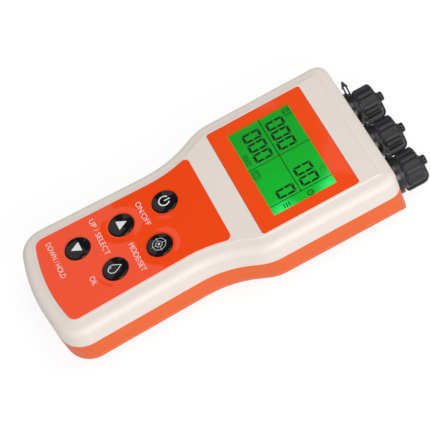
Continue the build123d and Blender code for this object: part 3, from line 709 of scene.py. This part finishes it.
# Light guide and holder: the guide is a slab of milky acrylic behind the glass, and a
# black ABS frame clamps both up against the front shell.
def milky_acrylic():
    """Opal acrylic: light wanders inside it, so it looks soft and slightly green."""
    material, tree, place = start_material("opal_acrylic")
    cloud = add_node(tree, "TexNoise", {"Vector": place, "Scale": 1 / (12 * mm)})
    tint = add_node(
        tree, "MixRGB",
        {"Fac": cloud.outputs["Fac"], "Color1": linear("#DCEBDD"), "Color2": linear("#E8F2E8")},
    )
    acrylic = add_node(
        tree, "BsdfPrincipled",
        {"Base Color": tint.outputs["Color"], "Roughness": 0.3, "IOR": 1.49, "Subsurface Weight": 0.4,
         "Subsurface Scale": 3 * mm},
    )
    return coated(material, acrylic)


dress(["backlight"], milky_acrylic())
black_abs = moulded_abs("satin_black_abs", "#232324", 0.4)
dress(["display_holder", "socket_header", "buzzer"], black_abs)


# Contact strips: layered silicone rubber, dark conducting layers between pale ones,
# pressed between the glass and the board. The layers are 0.1 mm; drawn at 0.5 mm.
def layered_rubber():
    """Silicone with conducting layers: fine stripes along the strip, quite matt."""
    material, tree, place = start_material("layered_silicone")
    stripes = add_node(
        tree, "TexWave", {"Vector": place, "Scale": 1 / (3.2 * mm), "Distortion": 0.0},
        bands_direction="X",
    )
    tint = add_node(
        tree, "MixRGB",
        {"Fac": stripes.outputs["Fac"], "Color1": linear("#2B2B2D"), "Color2": linear("#9A958F")},
    )
    rubber = add_node(
        tree, "BsdfPrincipled",
        {"Base Color": tint.outputs["Color"], "Roughness": 0.7, "IOR": 1.41},
    )
    return coated(material, rubber)


dress(["contact_strip_lower", "contact_strip_upper"], layered_rubber())


# Main board: glass-fibre laminate under green solder mask, with copper tracks that
# show as slightly raised, lighter lines.
def solder_mask():
    """Epoxy solder mask over copper: glossy dark green, the tracks as a grid beneath."""
    material, tree, place = start_material("solder_mask_on_laminate")
    tracks = add_node(
        tree, "TexBrick",
        {"Vector": place, "Scale": 1 / (8 * mm), "Mortar Size": 0.03, "Color1": linear("#0E4A26"),
         "Color2": linear("#0C4322"), "Mortar": linear("#1E6A3A")},
    )
    relief = add_node(
        tree, "Bump", {"Height": tracks.outputs["Fac"], "Strength": 0.5, "Distance": 0.035 * mm}
    )
    mask = add_node(
        tree, "BsdfPrincipled",
        {"Base Color": tracks.outputs["Color"], "Roughness": 0.28, "IOR": 1.55,
         "Normal": relief.outputs["Normal"]},
    )
    return coated(material, mask)


dress(["main_board"], solder_mask())
dress(["board_chips"], moulded_abs("moulded_epoxy", "#1E1F21", 0.5))
dress([f"switch_{name}" for name in key_names], black_abs)


# Screws, battery plates and springs: steel wire and strip, zinc plated, so it is a
# pale bluish grey with a fine drawn grain.
def plated_steel(name, colour, roughness):
    """Plated metal: bright, with a fine cloudy variation where the plating took unevenly."""
    material, tree, place = start_material(name)
    cloud = add_node(tree, "TexNoise", {"Vector": place, "Scale": 1 / (3 * mm), "Detail": 4.0})
    shine = add_node(
        tree, "MapRange",
        {"Value": cloud.outputs["Fac"], "To Min": roughness - 0.08, "To Max": roughness + 0.08},
    )
    metal = add_node(
        tree, "BsdfPrincipled",
        {"Base Color": linear(colour), "Metallic": 1.0, "Roughness": shine.outputs["Result"]},
    )
    return coated(material, metal)


zinc_plate = plated_steel("zinc_plated_steel", "#B9BBC0", 0.35)
dress(["board_screws", "case_screws", "battery_plates", "battery_springs"], zinc_plate)


# Battery cells: four AA cells in a shrunk plastic sleeve over a steel can.
def sleeved_cell():
    """Heat-shrunk film: dark, glossy, with a paler band towards one end."""
    material, tree, place = start_material("shrunk_sleeve")
    axes = add_node(tree, "SeparateXYZ", {"Vector": place})
    band = add_node(
        tree, "MapRange",
        {"Value": axes.outputs["Y"], "From Min": -60.0 * mm, "From Max": -59.0 * mm},
    )
    tint = add_node(
        tree, "MixRGB",
        {"Fac": band.outputs["Result"], "Color1": linear("#1D1F24"), "Color2": linear("#5B6068")},
    )
    film = add_node(
        tree, "BsdfPrincipled",
        {"Base Color": tint.outputs["Color"], "Roughness": 0.22, "IOR": 1.54},
    )
    return coated(material, film)


dress([f"battery_cell_{number}" for number in (1, 2, 3, 4)], sleeved_cell())


# Keypad overlay: polycarbonate sheet printed orange on its back, so it is glossy. It
# was pressed round the keys, which left a shallow dished ring about each of them.
def pressed_sheet():
    """Printed polycarbonate: gloss over a flat colour, dished in rings round the keys."""
    material, tree, place = start_material("printed_polycarbonate")
    height = None
    for name in key_names:
        centre = key_centre(name)
        centre.z = keypad_high.z
        gap = add_node(tree, "VectorMath", {0: place, 1: centre}, operation="DISTANCE")
        rise = add_node(
            tree, "MapRange",
            {"Value": gap.outputs["Value"], "From Min": 7.6 * mm, "From Max": 13.5 * mm},
            interpolation_type="SMOOTHERSTEP",
        ).outputs["Result"]
        height = rise if height is None else add_node(
            tree, "Math", {0: height, 1: rise}, operation="MULTIPLY"
        ).outputs["Value"]
    waves = add_node(tree, "TexNoise", {"Vector": place, "Scale": 1 / (24 * mm), "Detail": 1.0})
    dishes = add_node(tree, "Bump", {"Height": height, "Strength": 1.0, "Distance": 0.12 * mm})
    relief = add_node(
        tree, "Bump",
        {"Height": waves.outputs["Fac"], "Strength": 1.0, "Distance": 0.25 * mm,
         "Normal": dishes.outputs["Normal"]},
    )
    sheet = add_node(
        tree, "BsdfPrincipled",
        {"Base Color": linear("#F1450C"), "Roughness": 0.04, "IOR": 1.58,
         "Normal": relief.outputs["Normal"]},
    )
    return coated(material, sheet)


dress(["keypad_overlay"], pressed_sheet())

# Key names: plain words, screen printed in white on the back of the clear sheet and
# centred below each key. They are drawn just above it, where the render shows them.
label_drop = 13.7 * mm
label_height = 3.1 * mm
label_z = keypad_high.z + 0.02 * mm
print_height = 0.02 * mm
labels = []
for name, words, width in (
    ("power", "ON/OFF", 18.0), ("target", "MODE/SET", 21.0), ("up", "UP / SELECT", 27.6),
    ("drop", "OK", 6.0), ("down", "DOWN / HOLD", 27.0),
):
    centre = key_centre(name)
    label = small_text(words, (0, 0), width * mm, 0)
    tall = max(v.co.y for v in label.data.vertices) - min(v.co.y for v in label.data.vertices)
    label.data.transform(
        Matrix.Translation((centre.x, centre.y - label_drop, label_z))
        @ Matrix.Scale(label_height / tall, 4, (0, 1, 0))
    )
    labels.append(label)
key_labels = join(labels, "key_labels")
thicken(key_labels, print_height)


def screen_ink(name, colour):
    """Screen-printing ink under the sheet: opaque, its gloss comes from the sheet."""
    material, tree, place = start_material(name)
    weave = add_node(tree, "TexNoise", {"Vector": place, "Scale": 1 / (1.2 * mm)})
    shine = add_node(tree, "MapRange", {"Value": weave.outputs["Fac"], "To Min": 0.2, "To Max": 0.32})
    ink = add_node(
        tree, "BsdfPrincipled",
        {"Base Color": linear(colour), "Roughness": shine.outputs["Result"], "IOR": 1.5},
    )
    return coated(material, ink)


finish_piece(key_labels, "case", screen_ink("white_screen_ink", "#E6E6EA"))

# Keys: black ABS with a polished, slightly domed top. Each carries a white sign: an
# on-off sign, a target, an arrow up, a drop and an arrow down.
gloss_black = lacquer("polished_black_abs", "#0D0A0C", 18, 0.02)
dress([f"key_{name}" for name in key_names], gloss_black)


def sign_bar(centre, along, across):
    """A flat bar of a sign, subdivided so that it can follow the key's dome."""
    bpy.ops.object.select_all(action="DESELECT")
    bpy.ops.mesh.primitive_plane_add(size=1, location=centre)
    bar = bpy.context.object
    bpy.ops.object.transform_apply(location=True)
    bpy.ops.object.mode_set(mode="EDIT")
    bpy.ops.mesh.select_all(action="SELECT")
    bpy.ops.transform.resize(value=(along, across, 1), center_override=centre)
    bpy.ops.mesh.subdivide(number_cuts=6)
    bpy.ops.object.mode_set(mode="OBJECT")
    return bar


full_turn = 2 * math.pi
bold_stroke = 0.8 * mm
fine_stroke = 0.24 * mm
arrow_reach = 3.9
drop_radius = 2.9
drop_low = -1.3


def make_sign(name, centre):
    """The flat pieces of one key's sign."""
    if name == "power":
        opening = math.radians(35)
        ring = small_ring(
            centre, 3.1 * mm, bold_stroke, math.pi / 2 + opening, full_turn - 2 * opening, centre.z
        )
        return [ring, sign_bar(centre + Vector((0, 1.75 * mm, 0)), bold_stroke, 3.5 * mm)]
    if name == "target":
        rings = [
            small_ring(centre, 3.85 * mm, fine_stroke, 0, full_turn, centre.z),
            small_ring(centre, 1.9 * mm, fine_stroke, 0, full_turn, centre.z),
            small_ring(centre, 0.35 * mm, 0.7 * mm, 0, full_turn, centre.z, 16),
        ]
        for side in (-3.4 * mm, 3.4 * mm):
            rings.append(sign_bar(centre + Vector((side, 0, 0)), 2.4 * mm, fine_stroke))
            rings.append(sign_bar(centre + Vector((0, side, 0)), fine_stroke, 2.4 * mm))
        return rings
    if name in ("up", "down"):
        way = 1 if name == "up" else -1
        turns = [math.radians(90 * way + turn) for turn in (0, 120, 240)]
        corners = [(arrow_reach * math.cos(turn), arrow_reach * math.sin(turn)) for turn in turns]
        triangle = flat_shape([centre.xy + mm * Vector(corner) for corner in corners], centre.z)
        bpy.ops.mesh.bevel(offset=0.35 * mm, segments=3, affect="VERTICES")
        bpy.ops.mesh.select_all(action="SELECT")
        bpy.ops.mesh.poke()
        bpy.ops.mesh.subdivide(number_cuts=3)
        bpy.ops.object.mode_set(mode="OBJECT")
        return [triangle]
    turns = [math.radians(turn) for turn in range(-210, 31, 10)]
    outline = [(drop_radius * math.cos(turn), drop_low + drop_radius * math.sin(turn)) for turn in turns]
    outline += [(1.55, 1.9), (0.7, 3.2), (0.0, 4.3), (-0.7, 3.2), (-1.55, 1.9)]
    drop = flat_shape([centre.xy + mm * Vector(corner) for corner in outline], centre.z)
    bpy.ops.mesh.select_all(action="SELECT")
    bpy.ops.mesh.inset(thickness=0.45 * mm)
    bpy.ops.mesh.delete(type="FACE")
    bpy.ops.object.mode_set(mode="OBJECT")
    glint = small_ring(
        centre + Vector((0, drop_low * mm, 0)), 1.7 * mm, 0.4 * mm, math.radians(185), math.radians(60),
        centre.z, 8,
    )
    return [drop, glint]


sign_ink = screen_ink("grey_white_pad_ink", "#DEDCE0")
for name in key_names:
    centre = key_centre(name) + Vector((0, 0, mm))
    sign = join(make_sign(name, centre), f"sign_{name}")
    apply_modifier(
        sign, "SHRINKWRAP", target=nodes[f"key_{name}"], wrap_method="PROJECT", use_project_z=True,
        use_negative_direction=True, use_positive_direction=False, offset=print_height,
    )
    finish_piece(sign, f"{name}_key", sign_ink)

# Probe sockets: barrel, flange and neck are one moulding of black glass-filled nylon.
# The thin hexagon ring behind each cap is brass plated in black nickel; only its edges
# catch light.
black_nickel = plated_steel("black_nickel_plated_brass", "#55555C", 0.22)
nickel = plated_steel("nickel_plated_brass", "#CFCBC2", 0.18)
nylon = matt_black("glass_filled_nylon", "#131315", 0.3, 0.6, 0.02)
collar_low = 108.75 * mm
collar_high = 110.05 * mm
for number in (1, 2, 3):
    socket = nodes[f"socket_shell_{number}"]
    socket.data.materials.clear()
    socket.data.materials.append(nylon)
    socket.data.materials.append(black_nickel)
    low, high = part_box(f"socket_shell_{number}")
    axis = Vector(((low.x + high.x) / 2, 0, (low.z + high.z) / 2))
    for face in socket.data.polygons:
        across = Vector((face.center.x - axis.x, face.center.z - axis.z)).length
        if collar_low < face.center.y < collar_high and across > 8.0 * mm:
            face.material_index = 1
dress([f"socket_nut_{number}" for number in (1, 2, 3)], nickel)

# Socket inserts: nylon discs with five pins each, too small to show more than their ends.
dress([f"socket_insert_{number}" for number in (1, 2, 3)], nylon)


# Dust caps: moulded from a stiff matt rubber. The skirt has broad rounded ribs to grip,
# and the front is stepped and chamfered round the button that holds the strap.
cap_low, cap_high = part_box("dust_cap_1")
cap_x = (cap_low.x + cap_high.x) / 2
cap_z = (cap_low.z + cap_high.z) / 2
cap_radius = 10.0 * mm
cap_length = 9.7 * mm
cap_bore = 8.35 * mm
seal_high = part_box("cap_seal_1")[1].y
socket_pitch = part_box("dust_cap_2")[0].x - cap_low.x
cap_corner = 0.9 * mm
eye_bore = 3.1 * mm
stem_bore = 1.7 * mm
edge_angle = math.radians(50)
rib_count = 14
steps_a_rib = 10
cap_foot = Vector((cap_x, cap_low.y, cap_z))


def disc_along_y(name, centre, radius, vertices):
    """A closed disc that faces along the socket's axis, opened for editing."""
    bpy.ops.object.select_all(action="DESELECT")
    bpy.ops.mesh.primitive_circle_add(
        vertices=vertices, radius=radius, fill_type="NGON", location=centre, rotation=(-math.pi / 2, 0, 0)
    )
    disc = bpy.context.object
    disc.name = name
    bpy.ops.object.transform_apply(location=True, rotation=True)
    bpy.ops.object.mode_set(mode="EDIT")
    return disc


def rod_along_y(name, centre, radius, length, vertices=96):
    """A closed rod along the socket's axis, from the centre given towards the cap's front."""
    rod = disc_along_y(name, centre, radius, vertices)
    bpy.ops.mesh.select_all(action="SELECT")
    bpy.ops.mesh.extrude_region_move(TRANSFORM_OT_translate={"value": (0, length, 0)})
    face_outwards()
    return rod


def turned(name, centre, profile, steps=64):
    """A turned piece: its half section drawn point by point, then spun round its axis."""
    piece = first_point(name, centre + Vector((profile[0][0] * mm, profile[0][1] * mm, 0)))
    for before, after in zip(profile, profile[1:]):
        shift = ((after[0] - before[0]) * mm, (after[1] - before[1]) * mm, 0)
        bpy.ops.mesh.extrude_vertices_move(TRANSFORM_OT_translate={"value": shift})
    bpy.ops.mesh.select_all(action="SELECT")
    bpy.ops.mesh.spin(steps=steps, angle=2 * math.pi, center=centre, axis=(0, 1, 0))
    bpy.ops.mesh.select_all(action="SELECT")
    bpy.ops.mesh.remove_doubles(threshold=0.01 * mm)
    bpy.ops.mesh.normals_make_consistent(inside=False)
    bpy.ops.object.mode_set(mode="OBJECT")
    return piece


cap = disc_along_y("cap_moulding", cap_foot, cap_radius, rib_count * steps_a_rib)


def in_groove(vert, inner, outer):
    """True for rim vertices whose place within their rib lies between two steps."""
    angle = math.degrees(math.atan2(vert.co.z - cap_z, vert.co.x - cap_x)) % (360 / rib_count)
    step = angle / (360 / rib_count) * steps_a_rib
    distance = min(step, steps_a_rib - step)
    return inner - 0.1 < distance < outer + 0.1


for inner, outer, share in ((0, 0, 0.932), (1, 1, 0.942), (2, 2, 0.975)):
    pick("vert", lambda vert: in_groove(vert, inner, outer))
    bpy.ops.transform.resize(value=(share, 1, share), center_override=cap_foot)
bpy.ops.mesh.select_all(action="SELECT")
bpy.ops.mesh.extrude_region_move(TRANSFORM_OT_translate={"value": (0, cap_length - cap_corner, 0)})
bpy.ops.mesh.extrude_region_move(TRANSFORM_OT_translate={"value": (0, cap_corner, 0)})
bpy.ops.transform.resize(value=(0.915, 1, 0.915), center_override=(cap_x, 0, cap_z))
face_outwards()
bpy.ops.object.mode_set(mode="OBJECT")
front_step = turned(
    "cap_front", cap_foot,
    [(0, 8.5), (8.4, 8.5), (8.4, 9.6), (8.0, 10.0), (4.1, 10.25), (3.8, 11.0), (0, 11.0)], 96,
)
apply_modifier(cap, "BOOLEAN", operation="UNION", solver="EXACT", object=front_step)
bpy.data.objects.remove(front_step)
for radius, start, length in (
    (cap_bore, -mm, seal_high - cap_low.y + mm), (eye_bore, seal_high - cap_low.y - 0.01 * mm, mm),
    (stem_bore, seal_high - cap_low.y, 6 * mm),
):
    bore = rod_along_y("bore", cap_foot + Vector((0, start, 0)), radius, length)
    bpy.ops.object.mode_set(mode="OBJECT")
    carve(cap, bore)
apply_modifier(
    cap, "BEVEL", width=0.18 * mm, segments=2, limit_method="ANGLE", angle_limit=edge_angle
)


def set_out(piece, base_name, body, material, replaced, angle=35):
    """Copies one socket's piece to the other two, with meshes of their own."""
    pieces = [piece]
    for number in (2, 3):
        other = piece.copy()
        other.data = piece.data.copy()
        other.data.transform(Matrix.Translation(((number - 1) * socket_pitch, 0, 0)))
        bpy.context.collection.objects.link(other)
        pieces.append(other)
    for number, other in enumerate(pieces, 1):
        other.name = f"{base_name}_{number}"
        finish_piece(other, f"{body}_{number}" if body else None, material, angle)
        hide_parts(f"{replaced}_{number}")
    return pieces


cap_rubber = matt_black("stiff_matt_rubber", "#19191E", 0.5, 0.6, 0.03)
set_out(cap, "cap_moulding", "cap", cap_rubber, "dust_cap")


# Cap buttons: turned from black nylon rod, a stem with a broad flat head. The strap's
# eye and the cap's front are caught between the head and a collar inside the cap.
button_low, button_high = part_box("cap_button_1")
tall = (button_high.y - button_low.y) / mm
head_low = tall - 2.05
button = turned(
    "button", Vector((cap_x, button_low.y, cap_z)),
    [(0, 0), (2.9, 0), (3.0, 0.1), (3.0, 0.7), (2.9, 0.8), (1.6, 0.8), (1.6, head_low), (2.65, head_low),
     (2.8, head_low + 0.15), (2.8, tall - 0.5), (2.65, tall - 0.2), (2.3, tall), (0, tall)],
)
black_rod = moulded_abs("turned_black_nylon", "#1B1B1D", 0.35)
set_out(button, "button", "cap_carrier", black_rod, "cap_button")

# Tethers: each one piece of soft rubber. A band sits in the groove of the neck, the
# strap arches from it over the cap's front to the button, and an arrow-headed tail
# with a slot sticks out on the far side.
band_low_y = 105.65 * mm
band_high_y = 108.65 * mm
band_inner = 8.1
band_outer = 9.25
strap_angle = math.radians(-60)
strap_half = 2.0 * mm
rubber_thickness = 0.9 * mm
strap_out = Vector((math.cos(strap_angle), 0, math.sin(strap_angle)))
strap_side = Vector((-math.sin(strap_angle), 0, math.cos(strap_angle)))
socket_axis = Vector((cap_x, 0, cap_z))
along_y = Vector((0, 1, 0))
band_foot = Vector((cap_x, band_low_y, cap_z))
band_tall = (band_high_y - band_low_y) / mm
band = turned(
    "band", band_foot,
    [(band_inner, 0), (band_outer - 0.2, 0), (band_outer, 0.2), (band_outer, band_tall - 0.2),
     (band_outer - 0.2, band_tall), (band_inner, band_tall), (band_inner, 0)],
)


def strap_point(out_mm, along):
    """A point of the strap's middle line: how far out from the axis, how far along it."""
    return socket_axis + out_mm * mm * strap_out + along * along_y


strap = first_point("strap", strap_point(8.9, 107.4 * mm))
bpy.ops.mesh.extrude_vertices_move(TRANSFORM_OT_translate={"value": 2 * strap_half * strap_side})
bpy.ops.mesh.select_all(action="SELECT")
bpy.ops.transform.translate(value=-strap_half * strap_side)


def strap_run(out_mm, along_mm):
    """Draws the strap straight on."""
    step = out_mm * mm * strap_out + along_mm * mm * along_y
    bpy.ops.mesh.extrude_edges_move(TRANSFORM_OT_translate={"value": step})


def strap_turn(centre, angle, steps):
    """Draws the strap round a corner."""
    bpy.ops.mesh.spin(
        steps=steps, angle=math.radians(angle), center=strap_point(*centre), axis=strap_side
    )


strap_run(1.3, 0)
strap_turn((10.2, 108.8 * mm), -90, 8)
strap_run(0, 8.5)
strap_turn((7.4, 117.3 * mm), -90, 12)
strap_run(-10.0, 0)
face_outwards()
bpy.ops.object.mode_set(mode="OBJECT")


def harden(piece, thickness, rounding):
    """Gives a sheet its thickness, half to each side, and takes off its sharp edges."""
    apply_modifier(piece, "SOLIDIFY", thickness=thickness, offset=0)
    apply_modifier(
        piece, "BEVEL", width=rounding, segments=2, limit_method="ANGLE", angle_limit=edge_angle
    )


harden(strap, rubber_thickness, 0.2 * mm)
eye_hole = rod_along_y("eye_hole", Vector((cap_x, 120.5 * mm, cap_z)), 1.75 * mm, 2 * mm)
bpy.ops.object.mode_set(mode="OBJECT")
carve(strap, eye_hole)

tail_angle = math.radians(143)
tail_out = Vector((math.cos(tail_angle), 0, math.sin(tail_angle)))
tail_y = (band_low_y + band_high_y) / 2


def tail_sheet(name, corners):
    """A flat shape in the tail's plane, drawn corner by corner from the axis outwards."""
    bpy.ops.object.select_all(action="DESELECT")
    bpy.ops.mesh.primitive_circle_add(vertices=len(corners), radius=mm, location=socket_axis)
    sheet = bpy.context.object
    sheet.name = name
    bpy.ops.object.transform_apply(location=True)
    for vert, (out_mm, side_mm) in zip(sheet.data.vertices, corners):
        vert.co = socket_axis + out_mm * mm * tail_out + (tail_y + side_mm * mm) * along_y
    bpy.ops.object.mode_set(mode="EDIT")
    bpy.ops.mesh.select_all(action="SELECT")
    bpy.ops.mesh.edge_face_add()
    bpy.ops.mesh.normals_make_consistent(inside=False)
    bpy.ops.object.mode_set(mode="OBJECT")
    return sheet


tail_edge = [(8.8, 1.4), (13.7, 1.4), (13.7, 2.1), (17.6, 0.5)]
other_edge = [(out_mm, -side_mm) for out_mm, side_mm in tail_edge]
tail = tail_sheet("tail", other_edge + [(18.0, 0)] + tail_edge[::-1])
harden(tail, rubber_thickness, 0.15 * mm)
round_end = [math.radians(angle) for angle in range(-90, 91, 30)]
slot_corners = [(14.0 + 0.55 * math.cos(a), 0.55 * math.sin(a)) for a in round_end]
slot_corners += [(10.4 - 0.55 * math.cos(a), -0.55 * math.sin(a)) for a in round_end]
tail_slot = tail_sheet("tail_slot", slot_corners)
apply_modifier(tail_slot, "SOLIDIFY", thickness=3 * mm, offset=0)
carve(tail, tail_slot)
tether = join([band, strap, tail], "tether")
tethers = set_out(tether, "tether_moulding", None, soft_rubber, "tether")
for number, piece in enumerate(tethers, 1):
    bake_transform(piece)

# Studio, not part of the object: a white table that keeps a faint shadow, a soft box
# on the right, one over the socket end, three faint panels and an even grey all round.
bpy.ops.object.select_all(action="DESELECT")
bpy.ops.mesh.primitive_plane_add(size=6.0, location=(0, 0, cad_box[0][2]))
table = bpy.context.object
table.name = "table"
paper = bpy.data.materials.new("white_paper")
paper.use_nodes = True
tree = paper.node_tree
tree.nodes.clear()
table_glow = 1.08
glow_share = 0.8
rays = add_node(tree, "LightPath")
seen = add_node(
    tree, "Math", {0: rays.outputs["Is Camera Ray"], 1: rays.outputs["Is Glossy Ray"]}, operation="MAXIMUM"
)
share = add_node(tree, "Math", {0: seen.outputs["Value"], 1: glow_share}, operation="MULTIPLY")
matt = add_node(tree, "BsdfDiffuse", {"Color": (0.8, 0.8, 0.8, 1.0)})
lit = add_node(tree, "Emission", {"Color": (1.0, 1.0, 1.0, 1.0), "Strength": table_glow})
blended = add_node(
    tree, "MixShader", {"Fac": share.outputs["Value"], 1: matt.outputs["BSDF"], 2: lit.outputs["Emission"]}
)
add_node(tree, "OutputMaterial", {"Surface": blended.outputs["Shader"]})
table.data.materials.append(paper)

room_light = 0.5
room_reflection = 0.1
world = bpy.data.worlds.new("studio")
bpy.context.scene.world = world
world.use_nodes = True
tree = world.node_tree
tree.nodes.clear()
rays = add_node(tree, "LightPath")
dull = add_node(
    tree, "MapRange",
    {"Value": rays.outputs["Is Glossy Ray"], "To Min": room_light, "To Max": room_reflection},
)
grey = add_node(tree, "Background", {"Color": (1.0, 1.0, 1.0, 1.0), "Strength": dull.outputs["Result"]})
white = add_node(tree, "Background", {"Color": (1.0, 1.0, 1.0, 1.0), "Strength": 1.0})
sky = add_node(
    tree, "MixShader",
    {"Fac": rays.outputs["Is Camera Ray"], 1: grey.outputs["Background"], 2: white.outputs["Background"]},
)
add_node(tree, "OutputWorld", {"Surface": sky.outputs["Shader"]})


def soft_lamp(name, place, size, watts):
    """A square soft box that faces the object."""
    bpy.ops.object.select_all(action="DESELECT")
    away = Vector(place).to_track_quat("Z", "Y").to_euler()
    bpy.ops.object.light_add(type="AREA", location=place, rotation=away)
    lamp = bpy.context.object
    lamp.name = name
    lamp.data.size = size
    lamp.data.energy = watts


# The two soft boxes light the meter. The panels only show as faint reflections: two in
# the display frame's gloss and one in the keypad's.
soft_lamp("side_softbox", (1.05, 0.1, 0.6), 0.6, 7.6)
soft_lamp("top_softbox", (0.1, 0.45, 1.2), 0.6, 4.7)
soft_lamp("frame_top_panel", (-0.78, 0.335, 0.95), 0.26, 0.11)
soft_lamp("frame_left_panel", (-0.95, 0.10, 0.95), 0.19, 0.06)
soft_lamp("keypad_panel", (-0.72, -0.22, 0.95), 0.32, 0.18)

camera_data = bpy.data.cameras.new("camera")
camera_data.lens = 160.0
camera_data.sensor_width = 36.0
camera_data.clip_start = 0.05
camera = bpy.data.objects.new("camera", camera_data)
bpy.context.collection.objects.link(camera)
camera.matrix_world = Matrix((
    (0.38640, -0.68548, 0.61710, 0.6587),
    (0.87960, 0.47516, -0.02294, -0.0174),
    (-0.27750, 0.55166, 0.78655, 0.8580),
    (0.0, 0.0, 0.0, 1.0),
))
bpy.context.scene.camera = camera
bpy.context.scene.view_settings.view_transform = "Standard"
